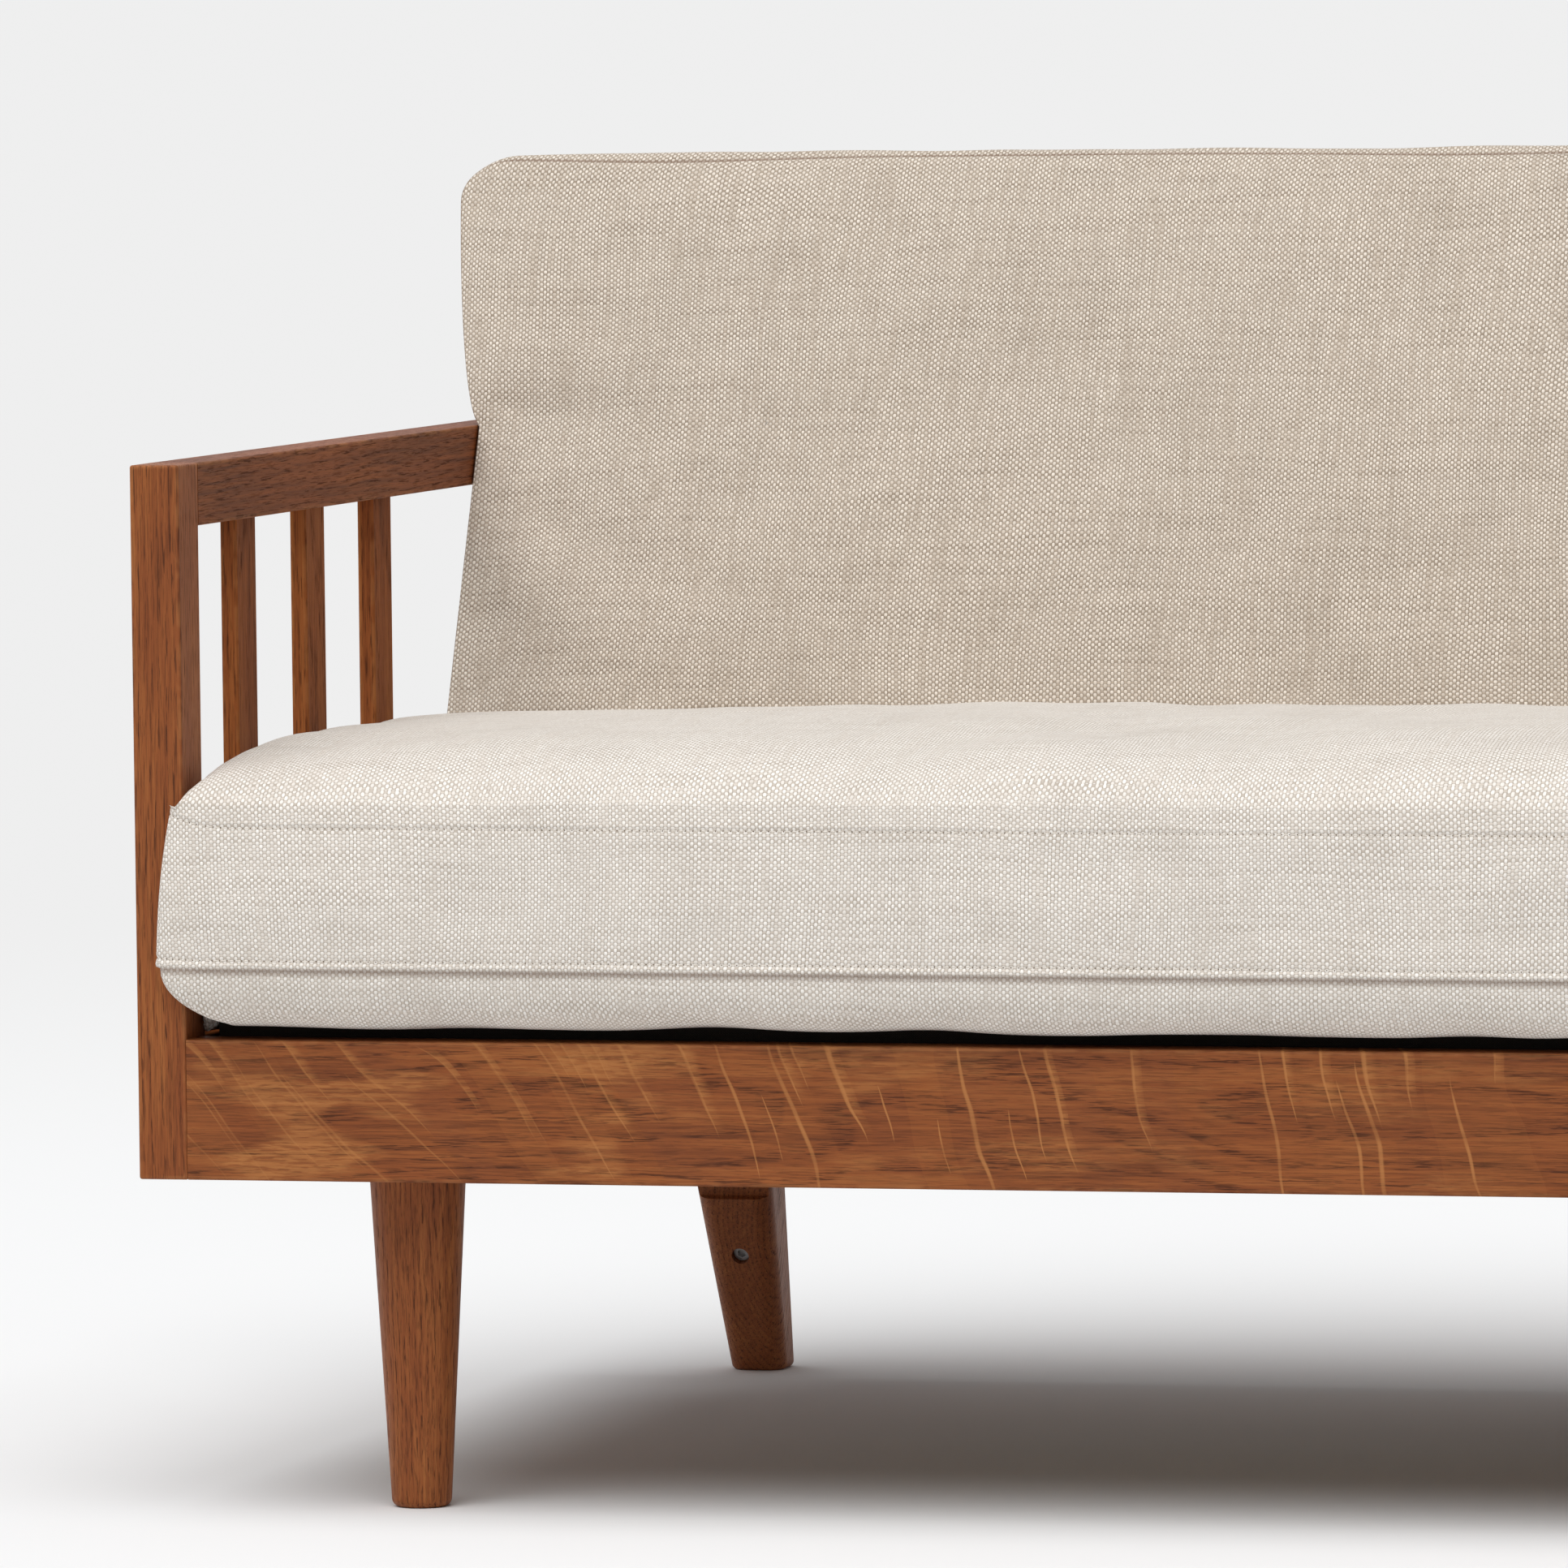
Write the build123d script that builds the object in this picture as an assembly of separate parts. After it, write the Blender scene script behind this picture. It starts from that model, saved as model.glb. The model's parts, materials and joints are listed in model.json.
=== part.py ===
from build123d import *
import math
import os

os.makedirs("parts", exist_ok=True)

# A three-seat sofa in stained oak: slatted arms, a leaning slatted back, a black
# covered deck and two long loose cushions.
# X runs along the sofa, +Y points to the back and +Z up. Left is the -X side.
# Everything is drawn with Y = 0 on the front of the posts and moved at the end,
# so that the origin is on the floor under the middle of the whole sofa.

# Overall sizes
sofa_width = 1900.0
frame_depth = 790.0
arm_height = 600.0
underside_height = 193.0

# Posts, rails and their joints
post_width = 29.0
post_depth = 38.0
rail_height = 80.0
rail_thickness = 29.0
arm_rail_height = 36.0
edge_ease = 1.5
tenon_length = 16.0
tenon_thin_share = 0.36
tenon_wide_share = 0.7
fit_gap = 0.1
soft_gap = 0.4

# Arm slats
slat_thickness = 10.0
slat_width = 38.0
slat_setback = 103.0
slat_pitch = 138.0
slat_count = 3
slat_housing = 9.0
slat_tenon_share = 0.8

# Bearers that carry the legs and the deck
bearer_width = 95.0
bearer_height = 45.0
leg_inset = 143.0
bearer_tenon_length = 12.0

# Front legs, turned
front_leg_y = 76.0
front_leg_top_diameter = 55.5
front_leg_foot_diameter = 34.0
foot_round = 5.0

# Rear legs, raked, with a bolt through each
rear_foot_overhang = 45.0
rear_rake = 22.0
rear_leg_head_width = 55.5
rear_leg_foot_width = 35.0
rear_leg_corner = 11.0
rear_leg_foot_round = 4.0
rebate_height = 131.0
rebate_depth = 5.0
bolt_height = 90.0
counterbore_diameter = 11.0
counterbore_depth = 10.0
bolt_diameter = 6.0
bolt_head_diameter = 10.0
bolt_head_height = 6.0
hex_socket_width = 5.0
hex_socket_depth = 3.0
sleeve_diameter = 9.0
sleeve_length = 14.0
sleeve_flange_diameter = 13.0
sleeve_flange_height = 2.0

# Leg studs
stud_diameter = 10.0
stud_in_leg = 50.0
stud_in_bearer = 36.0
rear_stud_setback = 18.0

# Ledgers under the edges of the deck
ledger_size = 20.0

# Deck under the seat cushion
deck_rise = 10.5
deck_side_gap = 10.0
deck_front_gap = 3.0
deck_rear_gap = 6.3
cover_thickness = 1.5
batten_width = 45.0
web_width = 60.0
web_thickness = 2.0
web_count = 16
middle_batten_drop = 11.0

# Leaning back frame
back_lean = 24.5
prop_rail_drop = 15.0
prop_rail_height = 55.0
prop_rail_edge = 14.8
back_frame_rise = 110.0
stile_width = 45.0
stile_thickness = 28.0
stile_foot_gap = 2.5
back_rail_width = 55.0
back_bottom_gap = 30.0
back_slats_per_bay = 5
frame_bolt_diameter = 8.0
frame_bolt_head_diameter = 16.0
frame_bolt_head_height = 4.0
frame_bolt_reach = 28.0
frame_bolt_rise = 42.0
screw_diameter = 5.0
screw_head_diameter = 10.0
screw_head_height = 3.0
screw_reach = 16.0

# Seat cushion
seat_overhang = 22.0
seat_back_gap = 7.0
seat_lower_seam = 32.0
seat_top_seam = 116.0
seat_rear_drop = 12.0
seat_crown = 50.0
seat_crown_run = 220.0
seat_underside_run = 38.0
seat_band_lean = 7.0
seat_band_bow = 1.5
seat_ear = 15.0
seat_rear_round = 6.0
# share of the depth, share of the crown
seat_crown_shares = ((0.0, 0.3), (0.12, 0.66), (0.3, 0.93), (0.52, 1.0), (0.7, 0.9),
                     (0.86, 0.62), (0.96, 0.25), (1.0, 0.0))
# share of the overhang, share of the ear
nose_ear_shares = ((0.0, -0.8), (0.15, 0.35), (0.5, 1.0), (1.0, 0.8))
nose_cap_share = 0.62
crown_bow_share = 0.25
quarter_bow_share = 0.293

# Back cushion
back_cushion_thickness = 134.0
back_cushion_top = 474.0
back_crown = 16.0
back_crown_run = 240.0
back_cushion_corner = 16.0
back_cushion_spread = 25.0
back_cushion_rest = 0.6
back_side_draw = 2.0
# share of the length, share of the crown, thickness lost, width lost, spread over the arm
back_ring_shares = ((0.0, 0.1, 0.1, 0.5, 0.0), (0.04, 0.3, 0.02, 0.1, 0.0),
                    (0.15, 0.7, 0.0, 0.0, 0.0), (0.35, 0.95, 0.0, 0.0, 0.0),
                    (0.5, 1.0, 0.0, 0.0, 0.0), (0.63, 0.97, 0.0, 0.0, 0.32),
                    (0.8, 0.8, 0.0, 0.0, 0.75), (0.93, 0.45, 0.0, 0.0, 1.0),
                    (0.985, 0.2, 0.03, 0.35, 1.0), (1.0, 0.05, 0.09, 0.95, 1.0))

cut_overrun = 2.0

# Places that follow from the sizes
half_width = sofa_width / 2
inner_half = half_width - post_width
rail_top = underside_height + rail_height
bearer_top = underside_height + bearer_height
deck_top = rail_top + deck_rise
rear_post_y = frame_depth - post_depth
leg_x = half_width - leg_inset
cushion_half = inner_half - soft_gap
lean_sine = math.sin(math.radians(back_lean))
lean_cosine = math.cos(math.radians(back_lean))
rear_foot_y = frame_depth + rear_foot_overhang
prop_rail_high = arm_height - prop_rail_drop
prop_rail_low = prop_rail_high - prop_rail_height
back_run = (prop_rail_high - deck_top) * lean_sine / lean_cosine + stile_thickness / lean_cosine
back_base_y = frame_depth - prop_rail_edge - back_run
seat_cushion_back = back_base_y - seat_back_gap
deck_front = rail_thickness + deck_front_gap
deck_back = back_base_y - (deck_top - bearer_top) * lean_sine / lean_cosine - deck_rear_gap
back_frame_length = (prop_rail_high - deck_top) / lean_cosine + back_frame_rise
stile_foot = (deck_top - underside_height - stile_foot_gap - stile_thickness * lean_sine) / lean_cosine
frame_bolt_height = underside_height + frame_bolt_rise
back_place = Location((0, back_base_y, deck_top), (-back_lean, 0, 0))
leg_places = {"left": -leg_x, "center": 0, "right": leg_x}

pieces = {}


def block(x, y, z):
    # A box from its low and high limits along each axis.
    middle = [(span[0] + span[1]) / 2 for span in (x, y, z)]
    return Pos(*middle) * Box(x[1] - x[0], y[1] - y[0], z[1] - z[0])


def bar(spans, along, reach, shares, grow=0):
    # The inner bar whose ends are a member's tenons; grown, it cuts their mortises.
    length_way = "XYZ".index(along)
    cross = [i for i in range(len(spans)) if i != length_way]
    sizes = [spans[i][1] - spans[i][0] for i in cross]
    thin = cross[sizes.index(min(sizes))]
    limits = []
    for i, (low, high) in enumerate(spans):
        share = shares[0] if i == thin else shares[1]
        middle = (low + high) / 2
        half = (high - low) / 2
        half = half + reach if i == length_way else half * share
        limits.append((middle - half - grow, middle + half + grow))
    return block(*limits)


class Member:
    # A straight timber with eased long edges and a tenon at each end.
    def __init__(self, x, y, z, along, reach=tenon_length, shares=(tenon_thin_share, tenon_wide_share)):
        self.spans = (x, y, z)
        self.along = along
        self.reach = reach
        self.shares = shares
        self.tool = bar(self.spans, along, reach, shares, fit_gap)

    def solid(self):
        body = block(*self.spans)
        axis = {"X": Axis.X, "Y": Axis.Y, "Z": Axis.Z}[self.along]
        body = fillet(body.edges().filter_by(axis), edge_ease)
        return body + bar(self.spans, self.along, self.reach, self.shares)


def mortised(part, members):
    for member in members:
        part = part - member.tool
    return part


def group(parts):
    # Separate solids that share one node.
    return Compound([solid for part in parts for solid in part.solids()])


def bored(part, tools):
    for tool in tools.solids():
        part = part - tool
    return part


def rod(diameter, start, direction, length):
    # A cylinder that starts at a point and runs along a direction.
    plane = Plane(origin=start, z_dir=direction)
    return plane * Cylinder(diameter / 2, length, align=(Align.CENTER, Align.CENTER, Align.MIN))


def add_pair(name, part):
    pieces["left_" + name] = part
    pieces["right_" + name] = mirror(part, about=Plane.YZ)


# Straight members of the frame; the left arm stands for both
arm_x = (-half_width, -inner_half)
between_posts = (post_depth, rear_post_y)
rail_z = (underside_height, rail_top)
arm_rail = Member(arm_x, between_posts, (arm_height - arm_rail_height, arm_height), "Y")
side_rail = Member(arm_x, between_posts, rail_z, "Y")
front_rail = Member((-inner_half, inner_half), (0, rail_thickness), rail_z, "X")
rear_rail = Member((-inner_half, inner_half), (frame_depth - rail_thickness, frame_depth), rail_z, "X")


def arm_slats():
    # Thin upright slats, housed in the arm rail and the side rail.
    middle = -half_width + post_width / 2
    x = (middle - slat_thickness / 2, middle + slat_thickness / 2)
    z = (rail_top, arm_height - arm_rail_height)
    slats = []
    for i in range(slat_count):
        front = post_depth + slat_setback + i * slat_pitch
        shares = (slat_tenon_share, slat_tenon_share)
        slats.append(Member(x, (front, front + slat_width), z, "Z", slat_housing, shares))
    return slats


def bearers():
    # Cross-bearers under the deck, from the front rail to the rear rail.
    y = (rail_thickness, frame_depth - rail_thickness)
    z = (underside_height, bearer_top)
    return {side: Member((x - bearer_width / 2, x + bearer_width / 2), y, z, "Y", bearer_tenon_length)
            for side, x in leg_places.items()}


def post(y_low, y_high, joined_face, members):
    # An arm post; the top edge that meets the arm rail stays square.
    body = block(arm_x, (y_low, y_high), (underside_height, arm_height))
    top_edges = body.faces().sort_by(Axis.Z)[-1].edges().filter_by(Axis.X).sort_by(Axis.Y)
    square = top_edges[joined_face]
    eased = [edge for edge in body.edges() if edge != square]
    return mortised(fillet(eased, edge_ease), members)


def build_arms(prop_rail):
    slats = arm_slats()
    add_pair("front_post", post(0, post_depth, -1, (arm_rail, side_rail, front_rail)))
    add_pair("rear_post", post(rear_post_y, frame_depth, 0, (arm_rail, side_rail, rear_rail, prop_rail)))
    add_pair("arm_rail", mortised(arm_rail.solid(), slats))
    add_pair("side_rail", bored(mortised(side_rail.solid(), slats), frame_bolts(fit_gap)))
    for i, slat in enumerate(slats):
        add_pair("arm_slat_" + str(i + 1), slat.solid())


def build_seat_frame(carriers):
    pieces["front_rail"] = mortised(front_rail.solid(), carriers.values())
    pieces["rear_rail"] = mortised(rear_rail.solid(), carriers.values())
    for side, bearer in carriers.items():
        pieces[side + "_bearer"] = bored(bearer.solid(), leg_studs(fit_gap))


def leg_studs(grow=0):
    # Upright studs that join each leg to its bearer.
    rear_y = frame_depth - rail_thickness - rear_stud_setback
    studs = []
    for x in leg_places.values():
        for y in (front_leg_y, rear_y):
            start = (x, y, underside_height - stud_in_leg - grow)
            length = stud_in_leg + stud_in_bearer + 2 * grow
            studs.append(rod(stud_diameter + 2 * grow, start, (0, 0, 1), length))
    return group(studs)


def front_leg(x):
    # A turned taper with a rounded foot.
    leg = Cone(front_leg_foot_diameter / 2, front_leg_top_diameter / 2, underside_height,
               align=(Align.CENTER, Align.CENTER, Align.MIN))
    leg = fillet(leg.edges().sort_by(Axis.Z)[0], foot_round)
    return bored(Pos(x, front_leg_y, 0) * leg, leg_studs(fit_gap))


def rear_leg_place(x):
    return Location((x, rear_foot_y, 0), (rear_rake, 0, 0))


def rear_leg_length():
    return underside_height / math.cos(math.radians(rear_rake))


def rear_leg_width_at(height):
    # Width of the tapered rear leg at a distance up its axis.
    growth = (rear_leg_head_width - rear_leg_foot_width) / rear_leg_length()
    return rear_leg_foot_width + growth * height


def rear_leg(x):
    # A raked square taper with round corners, cut level at the floor and at the frame.
    # Its front is cut back above the rebate line.
    ends = (-rear_leg_head_width, rear_leg_length() + rear_leg_head_width)
    sections = [Pos(0, 0, z) * RectangleRounded(rear_leg_width_at(z), rear_leg_width_at(z), rear_leg_corner)
                for z in ends]
    shaft = loft(sections, ruled=True)
    reach = rear_leg_head_width
    rebate_face = -rear_leg_width_at(rebate_height) / 2 + rebate_depth
    shaft = shaft - block((-reach, reach), (-reach, rebate_face), (rebate_height, ends[1]))
    leg = rear_leg_place(x) * shaft
    level = block((x - reach, x + reach), (rear_foot_y - frame_depth, rear_foot_y + frame_depth),
                  (0, underside_height))
    leg = leg & level
    leg = fillet(leg.faces().sort_by(Axis.Z)[0].edges(), rear_leg_foot_round)
    leg = leg - rear_leg_place(x) * rear_bolt_hole()
    return bored(leg, leg_studs(fit_gap))


def rear_faces():
    # Where the bolt line leaves the front and the back of a rear leg, along the local Y axis.
    half = rear_leg_width_at(bolt_height) / 2
    return -half, half


def rear_bolt_hole():
    front, back = rear_faces()
    head = rod(counterbore_diameter, (0, front - cut_overrun, bolt_height), (0, 1, 0),
               counterbore_depth + cut_overrun)
    shank = rod(bolt_diameter + 2 * fit_gap, (0, front, bolt_height), (0, 1, 0), back - front)
    sleeve = rod(sleeve_diameter + 2 * fit_gap, (0, back + cut_overrun, bolt_height), (0, -1, 0),
                 sleeve_length + fit_gap + cut_overrun)
    flange = rod(sleeve_flange_diameter + 2 * fit_gap, (0, back + cut_overrun, bolt_height), (0, -1, 0),
                 sleeve_flange_height + cut_overrun)
    return head + shank + sleeve + flange


def rear_bolt():
    # A socket-head bolt, its head at the bottom of the counterbore.
    front, back = rear_faces()
    seat = front + counterbore_depth
    head = rod(bolt_head_diameter, (0, seat, bolt_height), (0, -1, 0), bolt_head_height)
    shank = rod(bolt_diameter, (0, seat, bolt_height), (0, 1, 0), back - sleeve_flange_height - seat)
    hexagon = Plane(origin=(0, seat - bolt_head_height - cut_overrun, bolt_height), z_dir=(0, 1, 0))
    socket = extrude(hexagon * RegularPolygon(hex_socket_width / 2, 6, major_radius=False),
                     hex_socket_depth + cut_overrun)
    return head + shank - socket


def rear_sleeve():
    # The flanged sleeve nut that takes the bolt from behind.
    front, back = rear_faces()
    barrel = rod(sleeve_diameter, (0, back, bolt_height), (0, -1, 0), sleeve_length)
    flange = rod(sleeve_flange_diameter, (0, back, bolt_height), (0, -1, 0), sleeve_flange_height)
    bore = rod(bolt_diameter + 2 * fit_gap, (0, back + cut_overrun, bolt_height), (0, -1, 0),
               sleeve_length + 2 * cut_overrun)
    return barrel + flange - bore


def build_legs():
    for side, x in leg_places.items():
        pieces[side + "_front_leg"] = front_leg(x)
        pieces[side + "_rear_leg"] = rear_leg(x)
    pieces["leg_studs"] = leg_studs()
    places = [rear_leg_place(x) for x in leg_places.values()]
    pieces["rear_leg_bolts"] = group([place * rear_bolt() for place in places])
    pieces["rear_leg_sleeve_nuts"] = group([place * rear_sleeve() for place in places])


def build_ledgers():
    # Cleats along the side rails and the front rail, level with the bearers.
    z = (bearer_top - ledger_size, bearer_top)
    side_y = (rail_thickness, deck_back - ledger_size)
    side = block((-inner_half, -inner_half + ledger_size), side_y, z)
    add_pair("side_ledger", fillet(side.edges().filter_by(Axis.Y), edge_ease))
    front_x = (-leg_x + bearer_width / 2, -bearer_width / 2)
    front = block(front_x, (rail_thickness, rail_thickness + ledger_size), z)
    add_pair("front_ledger", fillet(front.edges().filter_by(Axis.X), edge_ease))


def build_deck():
    # A webbed frame under a stretched black cover, standing just above the front rail.
    half = inner_half - deck_side_gap
    outer = block((-half, half), (deck_front, deck_back), (bearer_top, deck_top))
    inner_x = (-half + cover_thickness, half - cover_thickness)
    inner_y = (deck_front + cover_thickness, deck_back - cover_thickness)
    hollow = block(inner_x, inner_y, (bearer_top - cut_overrun, deck_top - cover_thickness))
    pieces["deck_cover"] = outer - hollow
    z = (bearer_top, deck_top - cover_thickness - web_thickness)
    end_y = (inner_y[0] + batten_width, inner_y[1] - batten_width)
    pieces["deck_front_batten"] = block(inner_x, (inner_y[0], end_y[0]), z)
    pieces["deck_rear_batten"] = block(inner_x, (end_y[1], inner_y[1]), z)
    add_pair("deck_end_batten", block((inner_x[0], inner_x[0] + batten_width), end_y, z))
    middle_z = (z[0], z[1] - middle_batten_drop)
    pieces["deck_middle_batten"] = block((-batten_width / 2, batten_width / 2), end_y, middle_z)
    web_z = (z[1], z[1] + web_thickness)
    step = (inner_x[1] - inner_x[0]) / web_count
    webs = []
    for i in range(web_count):
        middle = inner_x[0] + (i + 0.5) * step
        webs.append(block((middle - web_width / 2, middle + web_width / 2), inner_y, web_z))
    pieces["deck_webbing"] = group(webs)


def back_members():
    # The back frame's members, upright in their own frame: its front face is at Y = 0.
    y = (0, stile_thickness)
    inside = inner_half - stile_width
    top_z = (back_frame_length - back_rail_width, back_frame_length)
    low_z = (back_bottom_gap, back_bottom_gap + back_rail_width)
    between = (low_z[1], top_z[0])
    members = {"back_top_rail": Member((-inside, inside), y, top_z, "X"),
               "back_bottom_rail": Member((-inside, inside), y, low_z, "X"),
               "back_center_stile": Member((-stile_width / 2, stile_width / 2), y, between, "Z")}
    bay = inside - stile_width / 2
    space = (bay - back_slats_per_bay * slat_width) / (back_slats_per_bay + 1)
    slat_y = ((stile_thickness - slat_thickness) / 2, (stile_thickness + slat_thickness) / 2)
    shares = (slat_tenon_share, slat_tenon_share)
    for side, start in (("left", -inside), ("right", stile_width / 2)):
        for i in range(back_slats_per_bay):
            low = start + space + i * (space + slat_width)
            slat = Member((low, low + slat_width), slat_y, between, "Z", slat_housing, shares)
            members[side + "_back_slat_" + str(i + 1)] = slat
    return members


def end_stile(members):
    z = (-stile_foot, back_frame_length)
    stile = block((-inner_half, -inner_half + stile_width), (0, stile_thickness), z)
    stile = fillet(stile.edges(), edge_ease)
    return back_place * mortised(stile, (members["back_top_rail"], members["back_bottom_rail"]))


def prop_profile_y(z):
    # The back frame's rear face at a height, where the prop rail's bevel meets it.
    return back_base_y + (z - deck_top) * lean_sine / lean_cosine + stile_thickness / lean_cosine


class PropRail:
    # The rail between the rear posts that the leaning back rests on, bevelled to its slope.
    def __init__(self):
        x = (-inner_half, inner_half)
        z = (prop_rail_low, prop_rail_high)
        core = (x, (prop_profile_y(prop_rail_high), frame_depth), z)
        shares = (tenon_wide_share, tenon_wide_share)
        self.tool = bar(core, "X", tenon_length, shares, fit_gap)
        corners = [(prop_profile_y(z[0]), z[0]), (frame_depth, z[0]),
                   (frame_depth, z[1]), (prop_profile_y(z[1]), z[1])]
        face = Plane(origin=(x[0], 0, 0), z_dir=(1, 0, 0), x_dir=(0, 1, 0)) * Polygon(*corners, align=None)
        self.body = extrude(face, x[1] - x[0]) + bar(core, "X", tenon_length, shares)

    def solid(self):
        return bored(self.body, back_screws(fit_gap))


def frame_bolts(grow=0):
    # Bolts through the side rails into the feet of the end stiles.
    height = (frame_bolt_height - deck_top + stile_thickness / 2 * lean_sine) / lean_cosine
    y = back_base_y + height * lean_sine + stile_thickness / 2 * lean_cosine
    bolts = []
    for side in (-1, 1):
        outer = (side * (half_width - frame_bolt_head_height), y, frame_bolt_height)
        inwards = (-side, 0, 0)
        length = post_width - frame_bolt_head_height + frame_bolt_reach
        shank = rod(frame_bolt_diameter + 2 * grow, outer, inwards, length + grow)
        head_length = frame_bolt_head_height + (cut_overrun if grow else 0)
        head = rod(frame_bolt_head_diameter + 2 * grow, outer, (side, 0, 0), head_length)
        bolts.append(shank + head)
    return group(bolts)


def back_screws(grow=0):
    # Screws through the prop rail into the end stiles and the center stile.
    height = (prop_rail_low + prop_rail_high) / 2
    face = prop_profile_y(height)
    x_end = inner_half - stile_width / 2
    screws = []
    for x in (-x_end, 0, x_end):
        seat = (x, frame_depth - screw_head_height, height)
        shank = rod(screw_diameter + 2 * grow, seat, (0, -1, 0), seat[1] - face + screw_reach + grow)
        head_length = screw_head_height + (cut_overrun if grow else 0)
        head = rod(screw_head_diameter + 2 * grow, seat, (0, 1, 0), head_length)
        screws.append(shank + head)
    return group(screws)


def build_back(members):
    slats = [members[name] for name in members if "slat" in name]
    center = members["back_center_stile"]
    screw_holes = back_screws(fit_gap)
    add_pair("back_stile", bored(bored(end_stile(members), frame_bolts(fit_gap)), screw_holes))
    for name, member in members.items():
        part = member.solid()
        if name in ("back_top_rail", "back_bottom_rail"):
            part = mortised(part, slats + [center])
        part = back_place * part
        if name == "back_center_stile":
            part = bored(part, screw_holes)
        pieces[name] = part
    pieces["frame_bolts"] = frame_bolts()
    pieces["back_screws"] = back_screws()


def outline(points, bows, place):
    # A closed wire; each side runs to the next point and is bowed outwards by its own amount.
    edges = []
    for i, start in enumerate(points):
        end = points[(i + 1) % len(points)]
        if bows[i] == 0:
            edges.append(Edge.make_line(place(start), place(end)))
            continue
        run = (end[0] - start[0], end[1] - start[1])
        length = math.hypot(*run)
        middle = ((start[0] + end[0]) / 2 + bows[i] * run[1] / length,
                  (start[1] + end[1]) / 2 - bows[i] * run[0] / length)
        edges.append(Edge.make_three_point_arc(place(start), place(middle), place(end)))
    return Wire(edges)


def seat_ring(y, half, low, lower_seam, top_seam, top):
    # One upright section of the seat cushion, across the sofa.
    under = half - seat_underside_run
    seam = half - seat_band_lean
    crown = half - seat_crown_run
    points = [(-under, low), (under, low), (half, lower_seam), (seam, top_seam),
              (crown, top), (-crown, top), (-seam, top_seam), (-half, lower_seam)]
    round_under = quarter_bow_share * (lower_seam - low)
    rise = crown_bow_share * (top - top_seam)
    bows = [0, round_under, seat_band_bow, rise, 0, rise, seat_band_bow, round_under]
    return outline(points, bows, lambda p: Vector(p[0], y, p[1]))


def seat_cushion():
    # The body lies between the posts; the nose hangs over the front rail and has a small
    # ear in front of each post.
    low = deck_top + soft_gap
    front = -soft_gap
    depth = seat_cushion_back - front
    rings = []
    for depth_share, crown_share in seat_crown_shares:
        seam = deck_top + seat_top_seam - seat_rear_drop * depth_share
        top = seam + max(seat_crown * crown_share, seat_band_bow)
        last = depth_share == 1.0
        half = cushion_half - (seat_rear_round if last else 0)
        rings.append(seat_ring(front + depth * depth_share, half, low,
                               deck_top + seat_lower_seam, seam, top))
    side_limit = block((-cushion_half, cushion_half), (front, seat_cushion_back), (low, arm_height))
    body = Solid.make_loft(rings) & side_limit
    top_full = deck_top + seat_top_seam + seat_crown * seat_crown_shares[0][1]
    middle = deck_top + (seat_lower_seam + seat_top_seam) / 2
    nose_rings = []
    for share, ear_share in nose_ear_shares:
        swell = nose_cap_share + (1 - nose_cap_share) * math.sqrt(1 - (1 - share) ** 2)
        ring_low = middle - (middle - low) * swell
        ring_top = middle + (top_full - middle) * swell
        lower = middle + (deck_top + seat_lower_seam - middle) * swell
        seam = middle + (deck_top + seat_top_seam - middle) * swell
        y = front - seat_overhang * (1 - share)
        nose_rings.append(seat_ring(y, cushion_half + seat_ear * ear_share, ring_low, lower, seam, ring_top))
    nose = Solid.make_loft(nose_rings)
    return body.fuse(nose)


def seat_back_line():
    # How far up the back's slope the seat cushion reaches where the back cushion stands on it.
    reach = 0
    for depth_share, crown_share in seat_crown_shares:
        y = seat_cushion_back * depth_share - back_base_y
        z = seat_top_seam - seat_rear_drop * depth_share + seat_crown * crown_share
        if y > -back_cushion_thickness:
            reach = max(reach, y * lean_sine + z * lean_cosine)
    return reach


def back_ring(z, half, thickness, crown):
    # One section of the back cushion, square to its slope.
    corner = back_cushion_corner
    run = back_crown_run
    back = -soft_gap
    points = [(-half + corner, -thickness), (-half + run, -thickness - crown),
              (half - run, -thickness - crown), (half - corner, -thickness),
              (half, -thickness + corner), (half, back - corner),
              (half - corner, back), (-half + corner, back),
              (-half, back - corner), (-half, -thickness + corner)]
    turn = quarter_bow_share * corner
    rise = crown_bow_share * crown
    bows = [rise, 0, rise, turn, -back_side_draw, turn, 0, turn, -back_side_draw, turn]
    return outline(points, bows, lambda p: Vector(p[0], p[1], z))


def back_cushion():
    # Narrow between the arms, wider above them, and cut clear of the arms' tops.
    low = seat_back_line() + soft_gap + back_cushion_rest
    length = back_cushion_top - low
    rings = []
    for share, crown_share, thin_share, narrow_share, spread_share in back_ring_shares:
        half = cushion_half + back_cushion_spread * spread_share - back_cushion_corner * narrow_share
        thickness = back_cushion_thickness * (1 - thin_share)
        rings.append(back_ring(low + length * share, half, thickness, back_crown * crown_share))
    cushion = back_place * Solid.make_loft(rings)
    depth = (0, frame_depth + rear_foot_y)
    for side in (-1, 1):
        edges = sorted((side * cushion_half, side * sofa_width))
        cushion = cushion - block(edges, depth, (0, arm_height + soft_gap))
    return cushion


def build_cushions():
    pieces["seat_cushion"] = seat_cushion()
    pieces["back_cushion"] = back_cushion()


def centered(parts):
    # Moves every piece so that the origin is under the middle of the whole sofa.
    boxes = [part.bounding_box() for part in parts.values()]
    front = min(box.min.Y for box in boxes)
    back = max(box.max.Y for box in boxes)
    shift = Pos(0, -(front + back) / 2, 0)
    return {name: shift * part for name, part in parts.items()}


prop_rail = PropRail()
build_arms(prop_rail)
build_seat_frame(bearers())
build_legs()
build_ledgers()
build_deck()
build_back(back_members())
pieces["prop_rail"] = prop_rail.solid()
build_cushions()

for node, part in centered(pieces).items():
    export_step(part, "parts/" + node + ".step")
print(len(pieces), "nodes")
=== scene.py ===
import json
import math

import bmesh
import bpy
import numpy as np
from mathutils import Matrix, Vector, noise


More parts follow.
